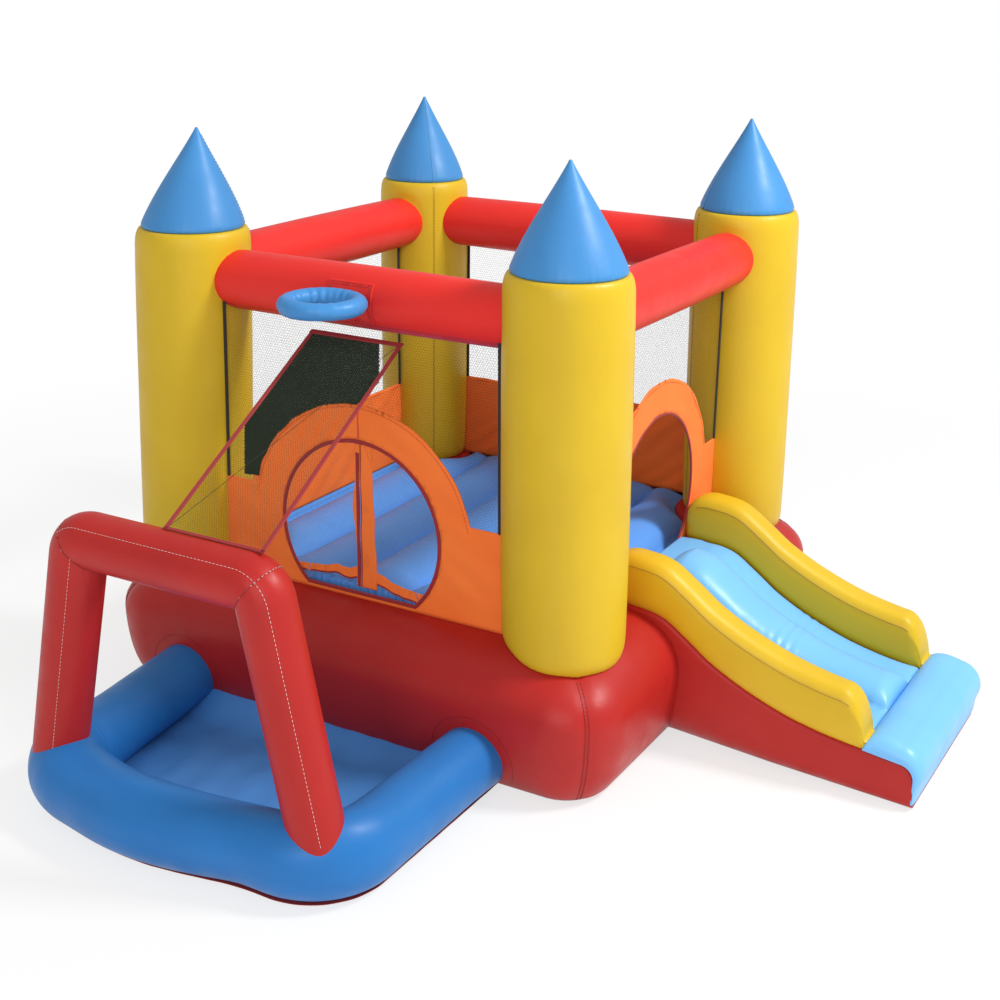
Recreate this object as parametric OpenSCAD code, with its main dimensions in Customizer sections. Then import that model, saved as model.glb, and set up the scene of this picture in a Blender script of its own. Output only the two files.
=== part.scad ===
// Inflatable bounce house: a square castle with four towers, a ball pit with a goal, and a slide.
// Millimetres, +Z up. The origin is the middle of the castle's underside, on the ground.
// The ball pit lies towards -Y and the slide towards +X.

/* [Castle] */
// Distance between the axes of neighbouring towers
tower_spacing = 1560; // [1480:10:1700]
// Outer diameter of a tower
tower_d = 430; // [390:2:470]
// Height of the seam between a tower and its cone
tower_top_z = 1793; // [1720:1:1900]
// Height of a cone above its seam
cone_h = 356; // [250:1:450]
// Radius of the blunt tip of a cone
cone_tip_r = 6; // [3:0.5:15]

/* [Base] */
// From the axis of a tower to the outer face of the base
base_margin = 315; // [280:1:340]
// Height of the base
base_h = 506; // [460:1:540]
// Radius of the base's corners in plan
base_corner_r = 230; // [205:1:260]
// Radius of the roll along the base's upper edge
base_roll_r = 200; // [160:1:204]
// Radius of the rounding along the base's lower edge
base_foot_r = 105; // [60:1:120]

/* [Bounce floor] */
// Depth of the well that holds the bounce floor
well_depth = 105; // [80:1:140]
// Width of the ledge between the well and the wall panels
well_ledge = 8; // [6:1:40]
// Width of the ledge between the well and a tower
well_rim = 8; // [6:1:25]
// Width of one air channel of the floor
channel_w = 285; // [220:1:340]
// Depth of the crease between two channels
crease_depth = 45; // [20:1:60]
// How far the crown of a channel lies below the top of the base
crown_drop = 5; // [2:0.5:15]

/* [Beams] */
// Outer diameter of a beam
beam_d = 214; // [190:1:250]
// Height of the beams' axes
beam_z = 1619; // [1520:1:1660]

/* [Walls] */
// How far the front and back walls stand outside the tower axes
front_out = 82; // [60:1:95]
// How far the left and right walls stand outside the tower axes
side_out = 0; // [0:1:40]
// Thickness of a wall panel
panel_t = 4; // [3:0.5:8]
// Height of a wall panel above the base
panel_h = 373; // [330:1:420]
// Outer radius of an arch
arch_r = 477; // [450:1:500]
// Radius of a doorway
door_r = 346; // [310:1:360]
// Height of a doorway's centre
door_z = 772; // [750:1:790]
// Height of a doorway's sill
door_sill_z = 522; // [515:1:560]
// Width of the binding round the entrance
door_binding_w = 12; // [8:1:20]
// Thickness of the binding round the entrance
door_binding_t = 8; // [6:0.5:12]

/* [Nets] */
// Thickness of a net
net_t = 3; // [2:0.5:5]
// Width of a strand that the net is drawn with
net_strand = 7; // [5:0.5:12]
// Distance between the strands that the wall nets are drawn with
net_pitch = 98; // [85:1:140]
// Width of the binding at the sides of a wall net
net_binding_w = 14; // [8:1:25]
// Thickness of the binding at the sides of a wall net
net_binding_t = 6; // [4:0.5:10]

/* [Entrance curtain] */
// Thickness of the curtain's mesh
curtain_t = 3; // [2:0.5:4]
// Gap between the two flaps
curtain_split = 4; // [2:0.5:10]
// Height of the flaps' lower edge
curtain_foot_z = 555; // [545:1:600]
// Gap between a flap and the binding round the entrance
curtain_gap = 4; // [3:0.5:10]
// How far the sewn edge of the curtain reaches past the doorway behind the panel
curtain_lap = 10; // [6:1:20]
// Width of the strip along the split
strip_w = 38; // [25:1:55]
// Height of the hem along the lower edge
flap_hem_h = 28; // [18:1:45]
// Thickness of the strip and the hem
strip_t = 5; // [4:0.5:7]

/* [Hoop] */
// Radius of the hoop to the middle of its tube
hoop_r = 122; // [100:1:150]
// Diameter of the hoop's tube
hoop_tube_d = 62; // [45:1:75]
// Place of the hoop along the front beam
hoop_x = -11; // [-150:1:150]
// Height of the hoop above the beam's axis
hoop_lift = 22; // [0:1:35]
// Width of the patch that carries the hoop
patch_w = 190; // [150:1:260]
// Height of the patch
patch_h = 140; // [100:1:170]
// Thickness of the patch
patch_t = 3; // [2:0.5:5]

/* [Ramp net] */
// Width of the ramp net with its webbing
ramp_w = 386; // [300:1:440]
// Place of the net's middle at its upper edge
ramp_top_x = 5; // [-120:1:120]
// Place of the net's middle on the goal's crossbar
ramp_foot_x = 169; // [-160:1:220]
// Distance between the strands that the ramp net is drawn with
ramp_pitch = 62; // [55:1:90]
// How far the net's upper edge lies below the front beam
ramp_drop = 15; // [5:1:40]
// Width of the webbing along the net's edges
webbing_w = 20; // [12:1:30]
// Thickness of the webbing
webbing_t = 5; // [4:0.5:8]

/* [Slide] */
// Width of the slide over both rails
slide_w = 860; // [800:10:980]
// Length of the slide from the wall to the end of the rails
slide_run = 1003; // [900:1:1150]
// Height of the slide's body at the end of the rails
slide_foot_z = 190; // [130:1:200]
// Length of the toe past the end of the rails
toe_run = 194; // [150:1:260]
// Height of the slide's body at the end of the toe
toe_z = 165; // [120:1:185]
// Height of the slide's body over the top of the base, at the wall
slide_lift = 24; // [15:1:60]
// Least thickness of the slide's body over the rolled edge of the base
slide_cover = 7; // [5:0.5:15]
// Width of a rail
rail_w = 140; // [100:1:180]
// Height of a rail over the slide's body
rail_h = 190; // [140:1:230]
// Height of the lane's side strips over the slide's body
lane_h = 25; // [15:1:45]
// Width of the lane's middle tube
lane_tube_w = 260; // [180:1:320]
// Height of the lane's middle tube over the side strips
lane_tube_h = 32; // [15:1:50]
// Height of the bolster on the toe
bolster_h = 48; // [40:1:90]

/* [Ball pit] */
// Distance between the axes of the pit's arms
pit_w = 1210; // [1100:10:1400]
// Reach of the pit from the front of the base
pit_reach = 932; // [850:1:1150]
// Outer diameter of the pit's tube
pit_tube_d = 244; // [200:1:260]
// Radius of the tube's front corners, to the middle of the tube
pit_bend_r = 150; // [130:1:200]
// Reach of the hem outside the axis of the tube
hem_reach = 64; // [55:1:100]
// Thickness of the pit's floor and hem
sheet_t = 3; // [2:0.5:5]

/* [Goal] */
// Diameter of the goal's tubes
goal_d = 184; // [150:1:200]
// Distance between the legs' axes at the pit's tube
goal_foot_w = 1110; // [950:10:1180]
// Distance between the legs' axes at the crossbar
goal_top_w = 720; // [650:10:850]
// Height of the crossbar's axis
goal_bar_z = 1005; // [850:1:1050]
// How far the goal stands behind the axis of the pit's front tube
goal_set_back = 33; // [0:1:40]

/* [Air and anchors] */
// Inner diameter of the air inlet's sleeve
inlet_d = 100; // [80:1:120]
// Length of the air inlet's sleeve
inlet_len = 220; // [120:1:300]
// Place of the air inlet along the back of the base
inlet_x = 520; // [420:10:650]
// Height of the inlet and of the deflation zip
rear_fittings_z = 205; // [190:1:215]
// Width of the strap that ties the inlet
strap_w = 25; // [15:1:40]
// Length of the deflation zip
zip_len = 320; // [220:10:400]
// Width of the zip's tape
zip_w = 40; // [30:1:60]
// Place of the zip's middle along the back of the base
zip_x = -420; // [-560:10:-350]
// Length of the zip's slider
slider_len = 30; // [20:1:45]
// Reach of an anchor tab outside the base
tab_reach = 70; // [50:1:100]
// Width of an anchor tab
tab_w = 60; // [50:1:90]
// Bore of an anchor tab's eyelet
eyelet_d = 16; // [10:0.5:22]
// Width of the eyelet's rim
eyelet_rim = 6; // [4:0.5:8]
// Distance of the anchor tabs from the middle of a side
tab_place = 690; // [550:10:720]

/* [Skin] */
// Thickness that stands for the coated cloth of an air chamber
skin = 3; // [2:0.25:4]
// Diameter of the ports that let air pass between chambers
port_d = 120; // [80:1:150]
// Gap at a seam between two pieces
seam = 0.3; // [0.2:0.05:0.5]

/* [Hidden] */
$fn = 96;
arc_steps = 12;
tower_r = tower_d / 2;
beam_r = beam_d / 2;
tower_half = tower_spacing / 2;
base_half = tower_half + base_margin;
base_w = 2 * base_half;
well_floor_z = base_h - well_depth;
crown_z = base_h - crown_drop;
well_x = 2 * (tower_half + side_out - well_ledge);
well_y = 2 * (tower_half + front_out - well_ledge);
panel_top_z = base_h + seam + panel_h;
front_y = -(tower_half + front_out);

// The slide starts at the outer face of the right wall
slide_x0 = tower_half + side_out + panel_t / 2 + seam;
slide_x1 = slide_x0 + slide_run;
toe_x = slide_x1 + toe_run;
slide_top_z = base_h + slide_lift;
// Share of the run and share of the drop at the points that shape the slide
slide_shape = [[0, 0], [0.105, 0.02], [0.225, 0.08], [0.325, 0.268], [0.425, 0.48], [0.58, 0.71], [0.77, 0.9],
    [1, 1]];
slide_steps = 36;
ring_crowding = 1.4;
rail_start_share = 0.76;
rail_start_run = 120;
rail_nose = 90;
rail_least = 0.12;
rail_crown_share = 0.8;
rail_sides = 12;
lane_steps = 20;

// The pit's tube lies on the ground
pit_r = pit_tube_d / 2;
pit_half = pit_w / 2;
pit_axis_y = -(base_half + pit_reach - pit_r);
pit_bend_y = pit_axis_y + pit_bend_r;
pit_bend_x = pit_half - pit_bend_r;
// How far a sheet on the ground has to stay from the line where a round edge touches the ground
tube_tuck = tuck(pit_r, sheet_t);
foot_tuck = tuck(base_foot_r, sheet_t);
foot_y = base_half - base_foot_r + foot_tuck;

goal_y = pit_axis_y + goal_set_back;
goal_r = goal_d / 2;
goal_lean = atan2((goal_foot_w - goal_top_w) / 2, goal_bar_z - pit_r);
mitre_angle = 135 + goal_lean / 2;
far = 3 * tower_spacing;

// The ramp net is sewn to the front net below the beam, and lies on the back of the goal's crossbar
ramp_bar_angle = 8;
ramp_gap = webbing_t / 2 + seam;
ramp_top = [front_y - net_t / 2 - ramp_gap, beam_z - beam_r - ramp_drop];
ramp_foot = [goal_y, goal_bar_z] + (goal_r + ramp_gap) * [sin(ramp_bar_angle), cos(ramp_bar_angle)];
ramp_rise = ramp_top - ramp_foot;
ramp_len = norm(ramp_rise);
ramp_pitch_angle = atan2(ramp_rise.y, ramp_rise.x);

// A flap turns about a rod along the line from the crown of the doorway to its lower corner
flap_r = door_r - door_binding_w - curtain_gap;
flap_crown_angle = 4;
flap_top = [-flap_r * sin(flap_crown_angle), door_z + flap_r * cos(flap_crown_angle)];
flap_foot = [-sqrt(pow(flap_r, 2) - pow(door_z - curtain_foot_z, 2)), curtain_foot_z];
flap_line = (flap_top - flap_foot) / norm(flap_top - flap_foot);
flap_out = [-flap_line.y, flap_line.x];
flap_rod_r = curtain_t / 2 + seam;
curtain_y = front_y + panel_t / 2 + seam;

patch_r = beam_r + seam + patch_t;
// The hoop touches the patch a little above the beam's axis
hoop_out = sqrt(pow(patch_r + seam + hoop_tube_d / 2, 2) - pow(hoop_lift, 2));
hoop_y = -(tower_half + hoop_out + hoop_r);
hoop_z = beam_z + hoop_lift;

castle_red = "#B83029";
beam_red = "#DD3A30";
yellow = "#DDBB30";
cone_blue = "#4A9AD9";
floor_blue = "#4C86D0";
pit_blue = "#2E70B8";
slide_blue = "#7CC0F5";
orange = "#F47C40";
binding_red = "#9E1C20";
net_black = "#24211F";
ramp_green = "#24301F";
zip_grey = "#55585C";
metal_grey = "#A9ADB2";

// Points along an arc from angle a0 to angle a1
function arc(c, r, a0, a1) =
    [for (i = [0:arc_steps]) let (a = a0 + (a1 - a0) * i / arc_steps) c + r * [cos(a), sin(a)]];

// The same points on the other side of the upright axis, in reverse order
function mirrored(p) = [for (i = [len(p) - 1:-1:0]) [-p[i].x, p[i].y]];

// Distance from the touching line at which a round edge of radius r leaves room for a sheet
function tuck(r, t) = sqrt(pow(r, 2) - pow(r - t - seam, 2));

// Half width of a wall of thickness t that stands out from the tower axes
function wall_half(out, t) = tower_half - sqrt(pow(tower_r, 2) - pow(max(0, out - t / 2), 2)) - seam;

// Height at which a wall of thickness t meets the beam above it
function wall_top_z(out, t) = beam_z - sqrt(pow(beam_r, 2) - pow(max(0, out - t / 2), 2)) - seam;

// How far the wall on the side that faces the given turn stands out
function wall_out(turn) = turn % 180 == 0 ? front_out : side_out;

// Slope of a point list at point i, flat at both ends
function slope(p, i) =
    i == 0 || i == len(p) - 1 ? 0 : (p[i + 1].y - p[i - 1].y) / (p[i + 1].x - p[i - 1].x);

// Smooth curve through a point list
function curve(p, x, i = 0) =
    i < len(p) - 2 && x > p[i + 1].x ? curve(p, x, i + 1) :
    let (
        w = p[i + 1].x - p[i].x,
        t = (x - p[i].x) / w,
        ease = t * t * (3 - 2 * t)
    )
    p[i].y * (1 - ease) + p[i + 1].y * ease
        + w * t * (1 - t) * ((1 - t) * slope(p, i) - t * slope(p, i + 1));

// Height of the base's rolled edge at a distance from the middle
function base_top(x) =
    let (over = x - (base_half - base_roll_r))
    over <= 0 ? base_h :
    over >= base_roll_r ? 0 :
    base_h - base_roll_r + sqrt(pow(base_roll_r, 2) - pow(over, 2));

// Height of the slide's body, which clears the rolled edge of the base
function body_z(x) =
    x > slide_x1 ? slide_foot_z + (toe_z - slide_foot_z) * (x - slide_x1) / toe_run :
    max(base_top(x) + slide_cover,
        slide_top_z - (slide_top_z - slide_foot_z) * curve(slide_shape, (x - slide_x0) / slide_run));

// Places along the slide at which its pieces have their rings, closer together at the nose of a rail
function slide_place(i) = slide_x0 + slide_run * (1 - pow(1 - i / slide_steps, ring_crowding));

// Height of a rail over the body
function rail_height(x) =
    let (
        start = min(1, (x - slide_x0) / rail_start_run),
        nose = max(0, (x - (slide_x1 - rail_nose)) / rail_nose),
        rise = 1 - (1 - rail_start_share) * pow(1 - start, 2),
        fall = sqrt(max(0, 1 - pow(nose, 2)))
    )
    rail_h * rise * max(rail_least, fall);

// Height of the lane over the body at a distance from its middle
function lane_top(y) =
    let (share = min(1, abs(y) / (lane_tube_w / 2)))
    lane_h + lane_tube_h * sqrt(1 - pow(share, 2));

// Outline round the pit, at a distance outside the axis of its tube
function pit_outline(o, back_y) = concat(
    [[pit_half + o, back_y]],
    arc([pit_bend_x, pit_bend_y], pit_bend_r + o, 0, -90),
    arc([-pit_bend_x, pit_bend_y], pit_bend_r + o, -90, -180),
    [[-pit_half - o, back_y]]);

// Point of the ramp net: u across from its middle, v up along its slope
function on_ramp(u, v) = [ramp_foot_x + (ramp_top_x - ramp_foot_x) * v / ramp_len + u, v];
function ramp_patch(u0, u1, v0, v1) = [on_ramp(u0, v0), on_ramp(u1, v0), on_ramp(u1, v1), on_ramp(u0, v1)];

// Closed skin of triangles through rings of equal point count
module loft(rings) {
    n = len(rings[0]);
    last = (len(rings) - 1) * n;
    sides = [
        for (i = [0:len(rings) - 2], j = [0:n - 1])
            let (a = i * n + j, b = i * n + (j + 1) % n)
            each [[a, a + n, b + n], [a, b + n, b]]
    ];
    caps = [for (j = [1:n - 2]) each [[0, j, j + 1], [last, last + j + 1, last + j]]];
    polyhedron([for (ring = rings) each ring], concat(sides, caps));
}

// Upright tube
module tube(d, wall, h) {
    linear_extrude(h) difference() {
        circle(d = d);
        circle(d = d - 2 * wall);
    }
}

// Everything on one side of a plane through the top of a goal leg, in the leg's upright plane
module mitre_side(keep) {
    translate([goal_top_w / 2, goal_y, goal_bar_z])
        rotate([0, -mitre_angle, 0])
            translate([keep > 0 ? seam / 2 : -far - seam / 2, -far / 2, -far / 2])
                cube(far);
}

module at_towers() {
    for (x = [-1, 1], y = [-1, 1]) translate([x * tower_half, y * tower_half, 0]) children();
}

// Rounded block of the base, grown by g
module base_solid(g) {
    rim = function (reach) concat(
        arc([reach - base_foot_r, base_foot_r], base_foot_r + g, -90, 0),
        arc([reach - base_roll_r, base_h - base_roll_r], base_roll_r + g, 0, 90));
    for (turn = [0, 90])
        rotate(turn) rotate([90, 0, 0])
            linear_extrude(base_w - 2 * base_corner_r, center = true)
                polygon(concat(rim(base_half), mirrored(rim(base_half))));
    for (turn = [0:90:270])
        rotate(turn) translate([base_half - base_corner_r, base_half - base_corner_r, 0])
            rotate_extrude(angle = 90)
                polygon(concat([[0, -g]], rim(base_corner_r), [[0, base_h + g]]));
}

// Plan of the well, drawn in by c
module well_outline(c) {
    difference() {
        square([well_x - 2 * c, well_y - 2 * c], center = true);
        at_towers() circle(tower_r + well_rim + c);
    }
}

module base_skin() {
    color(castle_red) difference() {
        base_solid(0);
        difference() {
            base_solid(-skin);
            translate([0, 0, well_floor_z - skin]) linear_extrude(base_h) well_outline(-skin);
        }
        translate([0, 0, well_floor_z]) linear_extrude(base_h) well_outline(0);
        at_towers() translate([0, 0, base_h - 2 * skin]) cylinder(h = 4 * skin, d = port_d);
        translate([inlet_x, base_half, rear_fittings_z])
            rotate([90, 0, 0]) cylinder(h = 4 * skin, d = inlet_d, center = true);
    }
}

// Channelled block of the bounce floor, with its faces drawn in by c
module floor_block(c) {
    half = well_x / 2 - seam - c;
    part = channel_w / 8;
    steps = ceil(half / part) - 1;
    places = concat([-half], [for (i = [-steps:steps]) i * part], [half]);
    height = function (x) crown_z - c - crease_depth * pow(2 * (x / channel_w - round(x / channel_w)), 2);
    low = well_floor_z + seam + c;
    rotate([90, 0, 0]) linear_extrude(well_y, center = true)
        polygon(concat([[half, low], [-half, low]], [for (x = places) [x, height(x)]]));
}

module floor_mattress() {
    color(floor_blue) difference() {
        intersection() {
            floor_block(0);
            linear_extrude(base_h) well_outline(seam);
        }
        intersection() {
            floor_block(skin);
            linear_extrude(base_h) well_outline(seam + skin);
        }
    }
}

// Upright webs that tie the floor of the well to the underside, below the creases
module floor_baffles() {
    h = well_floor_z - 2 * skin - 2 * seam;
    pairs = floor(well_x / 2 / channel_w + 0.5);
    color("white") for (i = [0:pairs - 1], side = [-1, 1])
        translate([side * (i + 0.5) * channel_w - skin / 2, -well_y / 2 + base_foot_r, skin + seam])
            cube([skin, well_y - 2 * base_foot_r, h]);
}

module tower(sx, sy) {
    color(yellow) difference() {
        translate([sx * tower_half, sy * tower_half, base_h - base_roll_r])
            tube(tower_d, skin, tower_top_z - base_h + base_roll_r);
        base_solid(seam);
        translate([sx * (tower_half - tower_r), sy * tower_half, beam_z])
            rotate([0, 90, 0]) cylinder(h = tower_r, d = port_d, center = true);
        translate([sx * tower_half, sy * (tower_half - tower_r), beam_z])
            rotate([90, 0, 0]) cylinder(h = tower_r, d = port_d, center = true);
    }
}

module cone(sx, sy) {
    taper = tower_r - cone_tip_r;
    lift = skin * norm([cone_h, taper]) / taper;
    color(cone_blue) translate([sx * tower_half, sy * tower_half, tower_top_z]) difference() {
        cylinder(h = cone_h, r1 = tower_r, r2 = cone_tip_r);
        translate([0, 0, -lift]) cylinder(h = cone_h, r1 = tower_r, r2 = cone_tip_r);
    }
}

module beam(turn) {
    color(beam_red) rotate(turn) difference() {
        translate([-tower_half, -tower_half, beam_z]) rotate([0, 90, 0]) tube(beam_d, skin, tower_spacing);
        at_towers() cylinder(h = beam_z + beam_d, r = tower_r + seam);
    }
}

// Upright sheet of thickness t in the wall that faces the given turn, drawn in its own plane
module wall_sheet(turn, t) {
    rotate(turn) translate([0, -(tower_half + wall_out(turn)), 0])
        rotate([90, 0, 0]) linear_extrude(t, center = true) children();
}

// Upright sheet parallel to the front wall, from y0 to y0 + t
module front_sheet(y0, t) {
    translate([0, y0 + t, 0]) rotate([90, 0, 0]) linear_extrude(t) children();
}

// Everything of a wall's plane above height z
module above(z) {
    translate([-far / 2, z]) square(far);
}

module door_outline(g) {
    intersection() {
        translate([0, door_z]) circle(door_r + g);
        above(door_sill_z - g);
    }
}

module low_wall(out) {
    half = wall_half(out, panel_t);
    translate([-half, base_h + seam]) square([2 * half, panel_h]);
}

module arched_wall(out) {
    difference() {
        union() {
            low_wall(out);
            intersection() {
                translate([0, door_z]) circle(arch_r);
                above(base_h + seam);
            }
        }
        door_outline(0);
    }
}

module plain_panel(turn) {
    color(orange) wall_sheet(turn, panel_t) low_wall(wall_out(turn));
}

module arched_panel(turn) {
    color(orange) wall_sheet(turn, panel_t) arched_wall(wall_out(turn));
}

// Plan of a wall net, drawn in by c; over an arch it has two halves that meet at a seam
module net_outline(out, arched, c) {
    half = wall_half(out, net_binding_t) - net_binding_w - seam - c;
    low = panel_top_z + seam + c;
    difference() {
        translate([-half, low]) square([2 * half, wall_top_z(out, net_t) - c - low]);
        if (arched) {
            translate([0, door_z]) circle(arch_r + seam + c);
            translate([-seam / 2 - c, door_z]) square([seam + 2 * c, far]);
        }
    }
}

module wall_net(turn, arched) {
    out = wall_out(turn);
    half = wall_half(out, net_binding_t);
    columns = floor(2 * half / net_pitch);
    rows = floor((beam_z - panel_top_z) / net_pitch);
    gap = net_pitch - net_strand;
    color(net_black) wall_sheet(turn, net_t) difference() {
        net_outline(out, arched, 0);
        intersection() {
            net_outline(out, arched, net_strand);
            for (i = [0:columns - 1], j = [0:rows - 1])
                translate([(i - (columns - 1) / 2) * net_pitch, panel_top_z + (j + 0.5) * net_pitch])
                    square(gap, center = true);
        }
    }
}

module net_bindings() {
    color("black") for (turn = [0:90:270], side = [0, 1]) {
        out = wall_out(turn);
        half = wall_half(out, net_binding_t);
        low = panel_top_z + seam;
        wall_sheet(turn, net_binding_t) mirror([side, 0])
            translate([half - net_binding_w, low])
                square([net_binding_w, wall_top_z(out, net_binding_t) - low]);
    }
}

module entrance_binding() {
    color(binding_red)
        front_sheet(front_y + panel_t / 2 - door_binding_t, door_binding_t) difference() {
            door_outline(-seam);
            door_outline(-door_binding_w);
        }
}

// The curtain's mesh between the rod of the left flap and the doorway's edge
module curtain_border() {
    start = flap_rod_r + seam;
    color(net_black) front_sheet(curtain_y, curtain_t) intersection() {
        translate([0, door_z]) circle(door_r + curtain_lap);
        above(curtain_foot_z);
        polygon([
            flap_top + start * flap_out + door_r * flap_line,
            flap_top + (start + door_r) * flap_out + door_r * flap_line,
            flap_foot + (start + door_r) * flap_out - door_r * flap_line,
            flap_foot + start * flap_out - door_r * flap_line
        ]);
    }
}

// Outline of the left flap
module flap_outline() {
    polygon([flap_top, flap_foot, [-curtain_split / 2, curtain_foot_z], [-curtain_split / 2, flap_top.y]]);
}

// Outline of the strip and the hem of the left flap, which stay clear of its rod
module trim_outline() {
    clear = flap_rod_r + 4 * seam;
    intersection() {
        union() {
            translate([-curtain_split / 2 - strip_w, curtain_foot_z]) square([strip_w, door_r * 2]);
            translate([-door_r, curtain_foot_z]) square([door_r, flap_hem_h]);
        }
        translate(-clear * flap_out) flap_outline();
        flap_outline();
    }
}

module curtain_flap() {
    color(net_black) {
        front_sheet(curtain_y, curtain_t) difference() {
            flap_outline();
            trim_outline();
        }
        translate([flap_foot.x, curtain_y + curtain_t / 2, flap_foot.y])
            rotate([0, atan2(flap_line.x, flap_line.y), 0])
                cylinder(h = norm(flap_top - flap_foot), r = flap_rod_r);
    }
}

module curtain_trim() {
    color(orange) front_sheet(curtain_y + (curtain_t - strip_t) / 2, strip_t) trim_outline();
}

module hoop_ring() {
    color(slide_blue) translate([hoop_x, hoop_y, hoop_z]) rotate_extrude()
        translate([hoop_r, 0]) difference() {
            circle(d = hoop_tube_d);
            circle(d = hoop_tube_d - 2 * skin);
        }
}

module hoop_patch() {
    color(beam_red) intersection() {
        translate([hoop_x - patch_w / 2, -tower_half, beam_z])
            rotate([0, 90, 0]) tube(2 * patch_r, patch_t, patch_w);
        translate([hoop_x - patch_w, -tower_half - beam_d, beam_z - patch_h / 2])
            cube([2 * patch_w, beam_d, patch_h]);
    }
}

// Sheet of thickness t on the slope of the ramp net
module ramp_sheet(t) {
    translate([0, ramp_foot.x, ramp_foot.y]) rotate([ramp_pitch_angle, 0, 0])
        linear_extrude(t, center = true) children();
}

module ramp_net() {
    half = ramp_w / 2 - webbing_w - seam;
    length = ramp_len - webbing_w - seam;
    columns = floor(2 * half / ramp_pitch);
    rows = floor(length / ramp_pitch);
    step_u = (2 * half - net_strand) / columns;
    step_v = (length - net_strand) / rows;
    color(ramp_green) ramp_sheet(net_t) difference() {
        polygon(ramp_patch(-half, half, 0, length));
        for (i = [0:columns - 1], j = [0:rows - 1])
            polygon(ramp_patch(
                -half + net_strand + i * step_u, -half + (i + 1) * step_u,
                net_strand + j * step_v, (j + 1) * step_v));
    }
}

module ramp_webbing() {
    half = ramp_w / 2;
    inner = half - webbing_w;
    color(binding_red) ramp_sheet(webbing_t) difference() {
        polygon(ramp_patch(-half, half, 0, ramp_len));
        polygon(ramp_patch(-inner, inner, -webbing_w, ramp_len - webbing_w));
    }
}

// Side view of the slide's body, drawn in by c
module slide_side(c) {
    polygon(concat(
        [[slide_x0 + c, c], [toe_x - c, c], [toe_x - c, toe_z - c]],
        [for (i = [slide_steps:-1:0])
            let (x = slide_place(i))
            [max(x, slide_x0 + c), body_z(x) - c]]));
}

module slide_body() {
    color(castle_red) difference() {
        rotate([90, 0, 0]) linear_extrude(slide_w, center = true) slide_side(0);
        difference() {
            rotate([90, 0, 0]) linear_extrude(slide_w - 2 * skin, center = true) slide_side(skin);
            base_solid(seam + skin);
        }
        base_solid(seam);
    }
}

module slide_lane() {
    half = slide_w / 2 - rail_w - seam;
    ring = function (x) let (low = body_z(x) + seam) concat(
        [[x, -half, low], [x, half, low]],
        [for (i = [0:lane_steps]) let (y = half * (1 - 2 * i / lane_steps)) [x, y, low + lane_top(y)]]);
    color(slide_blue) loft([for (i = [0:slide_steps]) ring(slide_place(i))]);
}

module slide_rail(side) {
    half = rail_w / 2;
    middle = side * (slide_w / 2 - half);
    ring = function (x)
        let (
            low = body_z(x) + seam,
            h = rail_height(x),
            crown = min(half, rail_crown_share * h)
        )
        concat(
            [[x, middle - half, low], [x, middle + half, low]],
            [for (i = [0:rail_sides]) let (a = 180 * i / rail_sides)
                [x, middle + half * cos(a), low + h - crown + crown * sin(a)]]);
    color(yellow) loft([for (i = [0:slide_steps]) ring(slide_place(i))]);
}

module slide_bolster() {
    x0 = slide_x1 + seam;
    middle = (x0 + toe_x) / 2;
    half = (toe_x - x0) / 2;
    top = function (a) let (x = middle + half * cos(a)) [x, body_z(x) + seam + bolster_h * sin(a)];
    color(slide_blue) rotate([90, 0, 0]) linear_extrude(slide_w, center = true)
        polygon([for (i = [0:2 * arc_steps]) top(90 * i / arc_steps)]);
}

// Upright webs inside the slide that tie its lane to its underside, in front of the base
module slide_baffles() {
    start = base_half + 2 * seam + skin;
    color("white") for (side = [-1, 1])
        translate([0, side * lane_tube_w / 2 + skin / 2, 0]) rotate([90, 0, 0]) linear_extrude(skin)
            intersection() {
                slide_side(skin + seam);
                translate([start, 0]) square(far);
            }
}

// Straight air tube of the pit from the base to the corner, grown by g
module pit_arm_solid(side, g) {
    translate([side * pit_half, 0, pit_r]) rotate([90, 0, 0]) translate([0, 0, base_half - base_foot_r])
        cylinder(h = -pit_bend_y - base_half + base_foot_r, r = pit_r + g);
}

module pit_arm(side) {
    color(pit_blue) difference() {
        pit_arm_solid(side, 0);
        pit_arm_solid(side, -skin);
        base_solid(seam);
    }
}

// Front tube of the pit with both corners, drawn from a cross-section
module pit_front_run() {
    translate([-pit_bend_x, pit_axis_y, pit_r]) rotate([0, 90, 0])
        linear_extrude(2 * pit_bend_x) children();
    for (side = [0, 1])
        translate([(1 - 2 * side) * pit_bend_x, pit_bend_y, pit_r]) rotate(-90 - 90 * side)
            rotate_extrude(angle = 90) translate([pit_bend_r, 0]) children();
}

module pit_front() {
    color(pit_blue) pit_front_run() difference() {
        circle(pit_r);
        circle(pit_r - skin);
    }
}

module pit_floor() {
    color(pit_blue) linear_extrude(sheet_t) polygon(pit_outline(-tube_tuck, -foot_y));
}

module pit_hem() {
    color(binding_red) linear_extrude(sheet_t) difference() {
        polygon(pit_outline(hem_reach, -foot_y));
        polygon(pit_outline(tube_tuck, -foot_y + base_foot_r));
    }
}

// The right leg; the left one is its mirror image
module goal_leg() {
    rise = goal_bar_z - pit_r;
    color(castle_red) difference() {
        intersection() {
            translate([goal_foot_w / 2, goal_y, pit_r]) rotate([0, -goal_lean, 0])
                tube(goal_d, skin, rise / cos(goal_lean) + goal_d);
            mitre_side(-1);
        }
        pit_front_run() circle(pit_r + seam);
    }
}

module goal_crossbar() {
    color(castle_red) intersection() {
        translate([-goal_top_w / 2 - goal_d, goal_y, goal_bar_z])
            rotate([0, 90, 0]) tube(goal_d, skin, goal_top_w + 2 * goal_d);
        mitre_side(1);
        mirror([1, 0, 0]) mitre_side(1);
    }
}

module air_inlet() {
    color(castle_red) translate([inlet_x, base_half + seam, rear_fittings_z])
        rotate([-90, 0, 0]) tube(inlet_d + 2 * skin, skin, inlet_len);
}

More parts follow.
